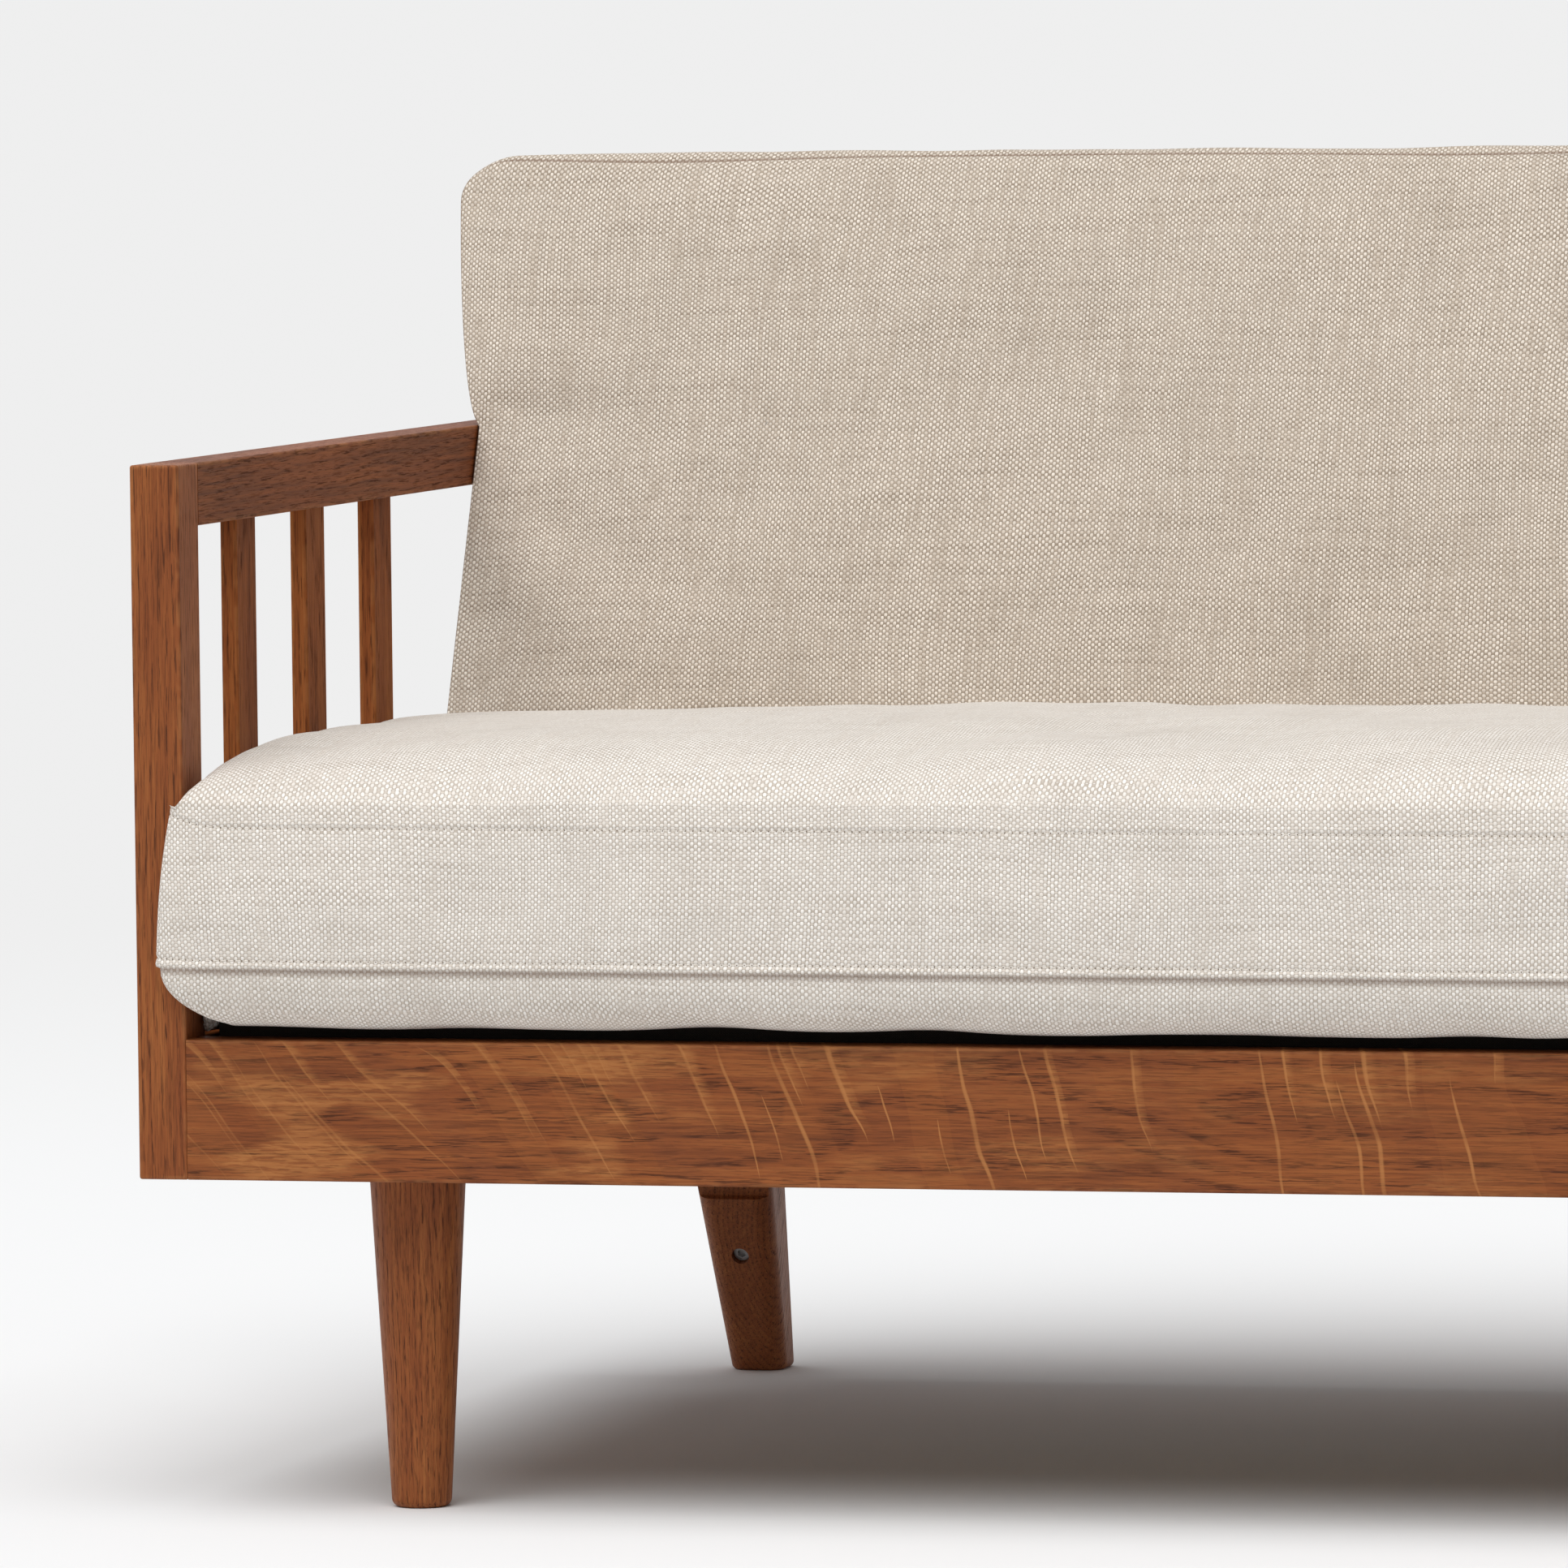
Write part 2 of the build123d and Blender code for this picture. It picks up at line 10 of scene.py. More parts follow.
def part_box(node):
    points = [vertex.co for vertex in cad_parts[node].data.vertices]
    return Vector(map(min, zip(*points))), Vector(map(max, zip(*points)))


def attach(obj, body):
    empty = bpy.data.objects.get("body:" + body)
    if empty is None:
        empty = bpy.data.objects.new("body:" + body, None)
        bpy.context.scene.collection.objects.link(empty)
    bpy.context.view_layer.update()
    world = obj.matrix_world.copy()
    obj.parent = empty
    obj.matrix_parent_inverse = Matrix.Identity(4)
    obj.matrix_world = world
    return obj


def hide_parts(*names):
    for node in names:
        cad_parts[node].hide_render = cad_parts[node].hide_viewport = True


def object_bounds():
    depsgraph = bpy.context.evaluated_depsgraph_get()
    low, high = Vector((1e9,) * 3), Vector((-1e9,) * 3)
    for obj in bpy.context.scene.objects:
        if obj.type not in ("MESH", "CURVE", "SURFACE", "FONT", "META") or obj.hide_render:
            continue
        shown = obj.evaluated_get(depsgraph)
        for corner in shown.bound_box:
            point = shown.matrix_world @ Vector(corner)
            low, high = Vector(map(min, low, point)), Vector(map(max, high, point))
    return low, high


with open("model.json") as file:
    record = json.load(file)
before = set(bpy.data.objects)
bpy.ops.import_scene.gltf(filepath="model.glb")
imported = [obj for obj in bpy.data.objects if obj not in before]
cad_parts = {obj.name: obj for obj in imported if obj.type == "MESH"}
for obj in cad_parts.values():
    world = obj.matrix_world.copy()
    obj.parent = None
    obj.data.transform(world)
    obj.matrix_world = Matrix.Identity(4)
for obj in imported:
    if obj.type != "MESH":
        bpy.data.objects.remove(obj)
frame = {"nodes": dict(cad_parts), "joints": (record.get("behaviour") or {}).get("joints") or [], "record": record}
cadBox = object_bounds()
nodes = frame["nodes"]
record = frame["record"]
slotOf = {row["node"]: row["material_slot"] for row in record["subparts"]}
print("frame loaded:", len(nodes), "wooden, steel and soft parts")

# Faces that the cushions are fitted to
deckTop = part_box("deck_cover")[1].z
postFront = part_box("left_front_post")[0].y
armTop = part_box("left_arm_rail")[1].z
armInside = abs(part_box("left_front_post")[1].x)
seatLow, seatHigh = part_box("seat_cushion")
liftAxis = [joint["axis"] for joint in frame["joints"] if joint["child"] == "back_cushion"][0]
backLean = math.atan2(liftAxis[1], liftAxis[2])
rearRake = math.radians(22)


# Small helpers for the node trees
def addNode(tree, kind, **values):
    node = tree.nodes.new(kind)
    for name, value in values.items():
        setattr(node, name, value)
    return node


def feed(tree, socket, value):
    if isinstance(value, bpy.types.NodeSocket):
        tree.links.new(value, socket)
    elif isinstance(value, tuple) and len(value) == 3 and socket.type == "RGBA":
        socket.default_value = (*value, 1)
    else:
        socket.default_value = value


def maths(tree, operation, *values, clamp=False):
    node = addNode(tree, "ShaderNodeMath", operation=operation, use_clamp=clamp)
    for socket, value in zip(node.inputs, values):
        feed(tree, socket, value)
    return node.outputs[0]


def vectors(tree, operation, *values):
    node = addNode(tree, "ShaderNodeVectorMath", operation=operation)
    for socket, value in zip(node.inputs, values):
        feed(tree, socket, value)
    return node.outputs[0]


def joined(tree, *values):
    node = addNode(tree, "ShaderNodeCombineXYZ")
    for socket, value in zip(node.inputs, values):
        feed(tree, socket, value)
    return node.outputs[0]


def parted(tree, vector):
    node = addNode(tree, "ShaderNodeSeparateXYZ")
    feed(tree, node.inputs[0], vector)
    return node.outputs


def mixed(tree, mask, first, second):
    node = addNode(tree, "ShaderNodeMix", data_type="RGBA")
    for socket, value in zip((node.inputs[0], node.inputs[6], node.inputs[7]), (mask, first, second)):
        feed(tree, socket, value)
    return node.outputs[2]


def cloud(tree, vector, stretch, detail=2.0, roughness=0.5):
    # Noise whose grains per metre are given along each axis.
    node = addNode(tree, "ShaderNodeTexNoise")
    feed(tree, node.inputs["Vector"], vectors(tree, "MULTIPLY", vector, stretch))
    node.inputs["Scale"].default_value = 1.0
    node.inputs["Detail"].default_value = detail
    node.inputs["Roughness"].default_value = roughness
    return node.outputs["Fac"]


def ease(tree, value, low, high, outLow=0.0, outHigh=1.0):
    node = addNode(tree, "ShaderNodeMapRange", interpolation_type="SMOOTHSTEP")
    for name, amount in (("Value", value), ("From Min", low), ("From Max", high),
                         ("To Min", outLow), ("To Max", outHigh)):
        feed(tree, node.inputs[name], amount)
    return node.outputs["Result"]


def newGroup(name, inputs, outputs):
    group = bpy.data.node_groups.new(name, "ShaderNodeTree")
    for label, kind, value in inputs:
        socket = group.interface.new_socket(label, in_out="INPUT", socket_type="NodeSocket" + kind)
        if value is not None:
            socket.default_value = value
    for label, kind in outputs:
        group.interface.new_socket(label, in_out="OUTPUT", socket_type="NodeSocket" + kind)
    return group, addNode(group, "NodeGroupInput").outputs, addNode(group, "NodeGroupOutput").inputs


def useGroup(tree, group, **values):
    node = addNode(tree, "ShaderNodeGroup", node_tree=group)
    for label, value in values.items():
        feed(tree, node.inputs[label], value)
    return node.outputs


def newMaterial(name, roughness=0.6, metallic=0.0, specular=0.5):
    material = bpy.data.materials.new(name)
    material.use_nodes = True
    tree = material.node_tree
    shader = tree.nodes["Principled BSDF"]
    shader.inputs["Roughness"].default_value = roughness
    shader.inputs["Metallic"].default_value = metallic
    shader.inputs["Specular IOR Level"].default_value = specular
    return material, tree, shader


def bumped(tree, shader, height, strength, distance):
    bump = addNode(tree, "ShaderNodeBump")
    bump.inputs["Strength"].default_value = strength
    bump.inputs["Distance"].default_value = distance
    feed(tree, bump.inputs["Height"], height)
    feed(tree, shader.inputs["Normal"], bump.outputs["Normal"])


def objectPlace(tree):
    return addNode(tree, "ShaderNodeTexCoord").outputs["Object"]


def dress(part, material):
    part.data.materials.clear()
    part.data.materials.append(material)


# Stained oak: colours from the dark pores to the painted highlight on the eased edges, where the tones change, a
# year's width and sway in metres, the gloss, and how strongly pores, red patches and the painted edge highlight
# show
oak = {
    "pore": (0.045, 0.014, 0.006), "dark": (0.105, 0.030, 0.011), "mid": (0.265, 0.078, 0.022),
    "light": (0.400, 0.142, 0.040), "red": (0.190, 0.047, 0.016), "umber": (0.160, 0.052, 0.026),
    "honey": (0.42, 0.165, 0.05), "gold": (0.43, 0.170, 0.052), "fleck": (0.470, 0.195, 0.062),
    "paintedHighlight": (0.500, 0.215, 0.075), "toneStops": (0.25, 0.54, 0.84), "yearWidth": 0.0032, "yearSway": 0.026,
    "sheen": 0.17, "poreShow": 0.78, "redShow": 0.55, "paintedHighlightShow": 0.22,
}


def buildOakGrain():
    # Years of growth round a distant pith, open pores along the grain and a slow change of tone.
    # The length of the member lies on X; Pith gives where the tree's middle is on Y and Z.
    group, given, made = newGroup("oakGrain", (
        ("Vector", "Vector", None), ("Seed", "Float", 0.0), ("Pith", "Vector", (0.0, 0.09, 0.03)),
        ("Tone", "Float", 0.0), ("Warmth", "Float", 0.5)),
        (("Color", "Color"), ("Roughness", "Float"), ("Height", "Float"), ("Streaks", "Float")))
    tree = group
    seed = given["Seed"]
    place = vectors(tree, "ADD", given["Vector"], joined(
        tree, seed, maths(tree, "MULTIPLY", seed, 1.7), maths(tree, "MULTIPLY", seed, 2.3)))
    sway = maths(tree, "SUBTRACT", cloud(tree, place, (3.0, 13, 13)), 0.5)
    away = parted(tree, vectors(tree, "SUBTRACT", given["Vector"], given["Pith"]))
    square = maths(tree, "ADD", maths(tree, "MULTIPLY", away[1], away[1]), maths(
        tree, "MULTIPLY", away[2], away[2]))
    radius = maths(tree, "ADD", maths(tree, "SQRT", square), maths(tree, "MULTIPLY", sway, oak["yearSway"]))
    year = maths(tree, "FRACT", maths(tree, "DIVIDE", radius, oak["yearWidth"]))
    early = maths(tree, "ADD", ease(tree, year, 0.5, 0.97), ease(tree, year, 0.0, 0.1, 1.0, 0.0), clamp=True)
    pores = ease(tree, cloud(tree, place, (60, 1300, 1300), 2.0, 0.6), 0.50, 0.60)
    pores = maths(tree, "MULTIPLY", pores, maths(tree, "MULTIPLY_ADD", early, 0.6, 0.4))
    fine = cloud(tree, place, (30, 900, 900), 2.0, 0.6)
    streaks = cloud(tree, place, (5, 330, 330), 3.0, 0.62)
    slow = cloud(tree, place, (4, 22, 22), 2.0, 0.5)
    tone = maths(tree, "ADD", maths(tree, "MULTIPLY", slow, 0.50), maths(tree, "MULTIPLY", streaks, 0.62))
    tone = maths(tree, "ADD", tone, maths(tree, "MULTIPLY_ADD", fine, 0.36, -0.14))
    tone = maths(tree, "SUBTRACT", tone, maths(tree, "MULTIPLY", early, 0.07))
    tone = maths(tree, "ADD", tone, maths(tree, "SUBTRACT", given["Tone"], 0.05))
    ramp = addNode(tree, "ShaderNodeValToRGB")
    stops = ramp.color_ramp.elements
    dark, middle, light = oak["toneStops"]
    for i, (share, name) in enumerate(((dark, "dark"), (light, "light"))):
        stops[i].position, stops[i].color = share, (*oak[name], 1)
    stops.new(middle).color = (*oak["mid"], 1)
    feed(tree, ramp.inputs[0], tone)
    # Red patches that follow the grain
    patch = ease(tree, cloud(tree, place, (7, 34, 34), 2.0, 0.5), 0.36, 0.66)
    warm = maths(tree, "MULTIPLY", patch, given["Warmth"])
    colour = mixed(tree, maths(tree, "MULTIPLY", warm, oak["redShow"]), ramp.outputs[0], oak["red"])
    colour = mixed(tree, maths(tree, "MULTIPLY", pores, oak["poreShow"]), colour, oak["pore"])
    feed(tree, made["Color"], colour)
    feed(tree, made["Roughness"], maths(tree, "MULTIPLY_ADD", pores, 0.25, 0.46))
    feed(tree, made["Height"], maths(tree, "SUBTRACT", maths(tree, "MULTIPLY", fine, 0.3), pores))
    feed(tree, made["Streaks"], streaks)
    return group


# Ray flecks, in metres: how they bend, the share left out, where they stand on the board, how long, wide and
# soft they are, and how strongly the bands between them and their soft sides show
rays = {
    "spacing": 0.017, "wider": 1.37, "bend": 0.026, "drift": 0.06, "leftOut": 0.54, "placed": 0.08,
    "reach": 0.016, "moreReach": 0.044, "width": 0.0004, "moreWidth": 0.0008, "softSide": 0.0075,
    "lighterBands": 0.12, "darkerBands": 0.14, "softShow": 0.62,
}


def buildRayFlecks():
    # Flecks of a quarter-sawn board: thin tapered curves across the grain, some with a soft side.
    group, given, made = newGroup("rayFlecks", (
        ("Vector", "Vector", None), ("Seed", "Float", 0.0), ("Spacing", "Float", rays["spacing"]),
        ("Slope", "Float", 0.55)), (("Line", "Float"), ("Patch", "Float"), ("Band", "Float")))
    tree = group
    seeded = vectors(tree, "ADD", given["Vector"], joined(tree, given["Seed"], given["Seed"], given["Seed"]))
    x, y, z = parted(tree, given["Vector"])
    height = maths(tree, "ADD", z, y)
    lean = maths(tree, "MULTIPLY", height, given["Slope"])
    bend = maths(tree, "SUBTRACT", cloud(tree, seeded, (9, 6, 14), 1.5), 0.5)
    drift = maths(tree, "SUBTRACT", cloud(tree, seeded, (6, 0.5, 0.5)), 0.5)
    swayed = maths(tree, "ADD", maths(tree, "MULTIPLY", bend, rays["bend"]), maths(
        tree, "MULTIPLY", drift, rays["drift"]))
    field = maths(tree, "ADD", maths(tree, "ADD", x, lean), swayed)

    def fleckLayer(spacing, offset):
        # One fleck in some of the cells, with its own place, height, length and width
        count = maths(tree, "ADD", maths(tree, "DIVIDE", field, spacing), offset)
        share, number = maths(tree, "FRACT", count), maths(tree, "FLOOR", count)
        layerSeed = maths(tree, "ADD", given["Seed"], offset)
        chance = addNode(tree, "ShaderNodeTexWhiteNoise", noise_dimensions="2D")
        feed(tree, chance.inputs["Vector"], joined(tree, number, layerSeed, 0.0))
        place, rise, length = parted(tree, chance.outputs["Color"])
        present = maths(tree, "GREATER_THAN", chance.outputs["Value"], rays["leftOut"])
        middle = maths(tree, "MULTIPLY_ADD", rise, rays["placed"], -rays["placed"] / 2)
        reach = maths(tree, "MULTIPLY_ADD", length, rays["moreReach"], rays["reach"])
        away = maths(tree, "DIVIDE", maths(tree, "SUBTRACT", height, middle), reach)
        taper = maths(tree, "SUBTRACT", 1.0, maths(tree, "MULTIPLY", away, away), clamp=True)
        gap = maths(tree, "MULTIPLY", maths(tree, "SUBTRACT", share, maths(
            tree, "MULTIPLY_ADD", place, 0.6, 0.2)), spacing)
        widest = maths(tree, "MULTIPLY_ADD", length, rays["moreWidth"], rays["width"])
        width = maths(tree, "MULTIPLY_ADD", taper, widest, 0.0001)
        line = ease(tree, maths(tree, "ABSOLUTE", gap), maths(
            tree, "MULTIPLY", width, 0.4), maths(tree, "MULTIPLY", width, 1.5), 1.0, 0.0)
        shown = maths(tree, "MULTIPLY", present, ease(tree, taper, 0.0, 0.35))
        patch = maths(tree, "MULTIPLY", ease(tree, gap, -0.0004, 0.0004), ease(
            tree, gap, 0.001, rays["softSide"], 1.0, 0.0))
        soft = maths(tree, "MULTIPLY", maths(tree, "GREATER_THAN", rise, 0.55), ease(tree, taper, 0.1, 0.8))
        softPatch = maths(tree, "MULTIPLY", patch, maths(tree, "MULTIPLY", soft, present))
        return maths(tree, "MULTIPLY", line, shown), softPatch, chance.outputs["Value"]

    lines, patches, tones = zip(fleckLayer(given["Spacing"], 0.0), fleckLayer(
        maths(tree, "MULTIPLY", given["Spacing"], rays["wider"]), 31.6))
    feed(tree, made["Line"], maths(tree, "MAXIMUM", *lines))
    feed(tree, made["Patch"], maths(tree, "MAXIMUM", *patches))
    feed(tree, made["Band"], maths(tree, "SUBTRACT", tones[1], 0.5))
    return group


def buildEdgeHighlight():
    # Paints a highlight on the eased edges of a straight member, from its own low and high corners, in noisy
    # patches.
    group, given, made = newGroup("edgeHighlight", (
        ("Vector", "Vector", None), ("Low", "Vector", (0.0, 0.0, 0.0)), ("High", "Vector", (0.0, 0.0, 0.0)),
        ("Width", "Float", 0.003)), (("Mask", "Float"),))
    tree = group
    places, lows, highs = (parted(tree, given[name]) for name in ("Vector", "Low", "High"))
    total = 0.0
    for place, low, high in zip(places, lows, highs):
        gap = maths(tree, "MINIMUM", maths(tree, "SUBTRACT", place, low), maths(
            tree, "SUBTRACT", high, place))
        near = maths(tree, "SUBTRACT", 1.0, maths(tree, "DIVIDE", gap, given["Width"]), clamp=True)
        total = maths(tree, "ADD", near, total)
    paintedHighlight = ease(tree, cloud(tree, given["Vector"], (70, 70, 70)), 0.36, 0.62)
    feed(tree, made["Mask"], maths(tree, "MULTIPLY", ease(tree, total, 1.0, 1.6), paintedHighlight))
    return group


def buildPlainWeave():
    # Thick warp yarns over and under thinner weft yarns, laid on the side that a face looks to; where the yarns
    # lie low the colour turns to the gap colour as painted shade.
    group, given, made = newGroup("plainWeave", (
        ("Vector", "Vector", None), ("Normal", "Vector", None), ("Pitch", "Float", 0.002),
        ("Warp", "Color", None), ("Weft", "Color", None), ("Gap", "Color", None),
        ("Slubs", "Float", 0.5), ("Skew", "Float", 0.004)), (("Color", "Color"), ("Height", "Float")))
    tree = group
    side = parted(tree, vectors(tree, "ABSOLUTE", given["Normal"]))
    x, y, z = parted(tree, given["Vector"])
    endOn = maths(tree, "GREATER_THAN", side[0], maths(tree, "MAXIMUM", side[1], side[2]))
    flat = maths(tree, "GREATER_THAN", side[2], side[1])

    def pick(mask, yes, no):
        return maths(tree, "ADD", maths(tree, "MULTIPLY", mask, yes), maths(
            tree, "MULTIPLY", maths(tree, "SUBTRACT", 1.0, mask), no))

    def drawn(offset):
        # The cloth is pulled out of square here and there.
        shifted = vectors(tree, "ADD", given["Vector"], (offset, offset, offset))
        wide = maths(tree, "SUBTRACT", cloud(tree, shifted, (5, 5, 5), 1.0), 0.5)
        small = maths(tree, "SUBTRACT", cloud(tree, shifted, (170, 170, 170), 1.0), 0.5)
        return maths(tree, "ADD", maths(tree, "MULTIPLY", wide, maths(tree, "MULTIPLY", given["Skew"], 6.0)),
                     maths(tree, "MULTIPLY", small, maths(tree, "MULTIPLY", given["Pitch"], 0.5)))

    across = maths(tree, "ADD", pick(endOn, y, x), drawn(0.0))
    along = maths(tree, "ADD", pick(endOn, z, pick(flat, y, z)), drawn(7.3))
    u = maths(tree, "DIVIDE", across, given["Pitch"])
    v = maths(tree, "DIVIDE", along, maths(tree, "MULTIPLY", given["Pitch"], 0.86))
    uCell, vCell = maths(tree, "FLOOR", u), maths(tree, "FLOOR", v)
    uIn = maths(tree, "SUBTRACT", maths(tree, "FRACT", u), 0.5)
    vIn = maths(tree, "SUBTRACT", maths(tree, "FRACT", v), 0.5)

    def yarn(crossways, cell, lengthways, other, halfWidth, weight):
        # A round yarn that rises over one neighbour and dips under the next.
        wave = maths(tree, "COSINE", maths(tree, "MULTIPLY", maths(
            tree, "ADD", maths(tree, "SUBTRACT", lengthways, 0.5), maths(tree, "ADD", cell, other)), math.pi))
        bulge = maths(tree, "DIVIDE", crossways, halfWidth)
        arched = maths(tree, "SUBTRACT", 1.0, maths(tree, "MULTIPLY", bulge, bulge), clamp=True)
        rise = maths(tree, "MULTIPLY_ADD", wave, 0.42, 0.5)
        return maths(tree, "MULTIPLY", maths(tree, "SQRT", arched), maths(tree, "MULTIPLY", rise, weight))

    ownWarp = cloud(tree, joined(tree, maths(tree, "MULTIPLY", uCell, 0.83), maths(
        tree, "MULTIPLY", v, 0.045), 0.5), (1, 1, 1), 1.0)
    ownWeft = cloud(tree, joined(tree, maths(tree, "MULTIPLY", u, 0.045), maths(
        tree, "MULTIPLY_ADD", vCell, 0.83, 57.3), 0.5), (1, 1, 1), 1.0)
    warpHigh = yarn(uIn, uCell, v, 0.0, maths(tree, "MULTIPLY_ADD", ownWarp, 0.26, 0.36), 1.0)
    weftHigh = yarn(vIn, vCell, u, 1.0, maths(tree, "MULTIPLY_ADD", ownWeft, 0.34, 0.22), 0.82)
    height = maths(tree, "MAXIMUM", warpHigh, weftHigh)
    onTop = maths(tree, "GREATER_THAN", warpHigh, weftHigh)
    warpDull = maths(tree, "MULTIPLY", ease(tree, ownWarp, 0.40, 0.72), given["Slubs"])
    weftDull = maths(tree, "MULTIPLY", ease(tree, ownWeft, 0.40, 0.72), given["Slubs"])
    warpColour = mixed(tree, warpDull, given["Warp"], given["Weft"])
    weftColour = mixed(tree, weftDull, given["Weft"], given["Gap"])
    cloth = mixed(tree, onTop, weftColour, warpColour)
    nub = addNode(tree, "ShaderNodeTexWhiteNoise", noise_dimensions="2D")
    feed(tree, nub.inputs["Vector"], joined(tree, uCell, vCell, 0.0))
    cloth = mixed(tree, maths(tree, "MULTIPLY", nub.outputs["Value"], 0.20), cloth, given["Gap"])
    # Painted shade between the yarns: the lower the weave, the nearer the gap colour
    feed(tree, made["Color"], mixed(tree, ease(tree, height, 0.08, 0.62, 0.85, 0.0), cloth, given["Gap"]))
    feed(tree, made["Height"], height)
    return group


oakGrain = buildOakGrain()
rayFlecks = buildRayFlecks()
edgeHighlight = buildEdgeHighlight()
plainWeave = buildPlainWeave()
print("oak grain, ray flecks, edge highlight and weave groups built")


# How each oak member lies: the axis of its length, its tilt about X, and its own look
lengthFirst = {"x": (0, 1, 2), "y": (1, 0, 2), "z": (2, 0, 1)}
# rays: strength of the flecks; slopes, golds and lines: two places along the board and the values there
memberLooks = {
    "front_rail": {"rays": 1.0, "slopes": (-0.82, -0.50, 0.95, 0.22), "tone": -0.02, "warmth": 0.5,
                   "golds": (-0.72, -0.40, 0.8, 0.35), "lines": (-0.80, -0.52, 0.45, 1.0)},
    "rear_rail": {"rays": 0.9, "slopes": (-0.6, 0.5, 0.3, 0.8)},
    "prop_rail": {"rays": 0.6, "slopes": (-0.6, 0.6, 0.6, 0.2)},
    # The arm rails and side rails are toned darker as painted shade: their inner faces and the side rails' tops
    # lie in shade beside the cushions
    "left_arm_rail": {"tone": -0.11, "sheen": 0.1}, "right_arm_rail": {"tone": -0.11, "sheen": 0.1},
    "left_side_rail": {"tone": -0.16, "sheen": 0.0}, "right_side_rail": {"tone": -0.16, "sheen": 0.0},
    "left_front_post": {"tone": 0.065, "warmth": 0.8},
    "left_front_leg": {"pith": (0.0, -0.052, -0.026), "tone": 0.07, "seed": 4.3},
    "left_rear_leg": {"tone": 0.05, "sheen": 0.25},
}
for name in nodes:
    if "arm_slat" in name:
        memberLooks[name] = {"tone": 0.0, "sheen": 0.05}


def memberWay(name):
    if "leg" in name:
        return "z", rearRake if "rear" in name else 0.0
    if "back_stile" in name or "back_slat" in name or "center_stile" in name:
        return "z", backLean
    if name in ("back_top_rail", "back_bottom_rail"):
        return "x", backLean
    if "arm_rail" in name or "side_rail" in name or "bearer" in name:
        return "y", 0.0
    return ("x" if "rail" in name else "z"), 0.0


def makeOak(name, number):
    way, tilt = memberWay(name)
    look = memberLooks.get(name, {})
    low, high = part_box(name)
    middle = (low + high) / 2
    material, tree, shader = newMaterial("oak_" + name, specular=look.get("sheen", oak["sheen"]))
    place = vectors(tree, "SUBTRACT", objectPlace(tree), tuple(middle))
    if tilt:
        turned = addNode(tree, "ShaderNodeVectorRotate", rotation_type="X_AXIS")
        feed(tree, turned.inputs["Vector"], place)
        turned.inputs["Angle"].default_value = tilt
        place = turned.outputs[0]
    axes = parted(tree, place)
    grainPlace = joined(tree, *(axes[i] for i in lengthFirst[way]))
    seed = look.get("seed", 0.83 * number)
    pith = look.get("pith", (0.0, 0.045 + 0.019 * (number % 4), 0.02 * (number % 3) - 0.015))
    grain = useGroup(tree, oakGrain, Vector=grainPlace, Seed=seed, Pith=pith,
                     Tone=look.get("tone", 0.02 * (number % 3) - 0.02), Warmth=look.get("warmth", 0.45))
    colour = grain["Color"]
    if "rays" in look:
        # Slope, golden patches and lines change along the board.
        walked = parted(tree, grainPlace)[0]
        slope = ease(tree, walked, *look["slopes"])
        golds = ease(tree, walked, *look.get("golds", (-1.0, 1.0, 0.5, 0.5)))
        strong = ease(tree, walked, *look.get("lines", (-1.0, 1.0, 1.0, 1.0)))
        flecks = useGroup(tree, rayFlecks, Vector=grainPlace, Seed=seed, Slope=slope)
        band, strength = flecks["Band"], look["rays"]
        lighter = maths(tree, "MULTIPLY", ease(tree, band, 0.0, 0.5), rays["lighterBands"] * strength)
        darker = maths(tree, "MULTIPLY", ease(tree, band, 0.0, -0.5), rays["darkerBands"] * strength)
        colour = mixed(tree, lighter, colour, oak["light"])
        colour = mixed(tree, darker, colour, oak["umber"])
        strokes = cloud(tree, grainPlace, (75, 640, 640), 2.0, 0.6)
        broken = maths(tree, "MULTIPLY", ease(tree, grain["Streaks"], 0.34, 0.56, 0.5, 1.0), ease(
            tree, strokes, 0.40, 0.56, 0.30, 1.0))
        soft = maths(tree, "MULTIPLY", flecks["Patch"], broken)
        soft = maths(tree, "MULTIPLY", soft, rays["softShow"] * strength)
        colour = mixed(tree, soft, colour, oak["honey"])
        drifts = cloud(tree, grainPlace, (11, 20, 34), 2.0, 0.6)
        golden = maths(tree, "MULTIPLY", ease(tree, drifts, 0.5, 0.66), broken)
        colour = mixed(tree, maths(tree, "MULTIPLY", golden, golds), colour, oak["gold"])
        fade = cloud(tree, grainPlace, (22, 30, 40), 2.0, 0.6)
        fade = ease(tree, fade, 0.36, 0.6, 0.35, 0.75 * strength)
        line = maths(tree, "MULTIPLY", flecks["Line"], maths(tree, "MULTIPLY", fade, strong))
        colour = mixed(tree, line, colour, oak["fleck"])
    if way != "z" or tilt == 0 and "leg" not in name:
        # Painted highlight along the eased edges of a straight member
        highlight = useGroup(tree, edgeHighlight, Vector=objectPlace(tree), Low=tuple(low), High=tuple(high))
        colour = mixed(tree, maths(tree, "MULTIPLY", highlight["Mask"], oak["paintedHighlightShow"]), colour, oak["paintedHighlight"])
    feed(tree, shader.inputs["Base Color"], colour)
    feed(tree, shader.inputs["Roughness"], grain["Roughness"])
    bumped(tree, shader, grain["Height"], 0.4, 0.0003)
    return material


for i, name in enumerate(sorted(name for name in nodes if slotOf[name] == "stained_oak")):
    dress(nodes[name], makeOak(name, i + 1))
print("oak members stained")

# One weave in two colours: pale on the seat, darker and browner on the back. The gap colour is the painted shade
# between the yarns and also dulls slubs and streaks; the seam colour is painted shade in the seams
linens = {
    "seat": {"warp": (0.99, 0.955, 0.905), "weft": (0.75, 0.68, 0.605), "gap": (0.36, 0.30, 0.24)},
    "back": {"warp": (0.88, 0.80, 0.705), "weft": (0.53, 0.44, 0.352), "gap": (0.205, 0.155, 0.11)},
    "pitch": 0.00205, "slubs": 0.46, "seamShade": 0.72, "seam": (0.19, 0.11, 0.07),
    "streaks": 0.07, "clouds": 0.12, "roughness": 0.92, "gloss": 0.12, "fuzz": 0.12, "fuzzRoughness": 0.5,
}


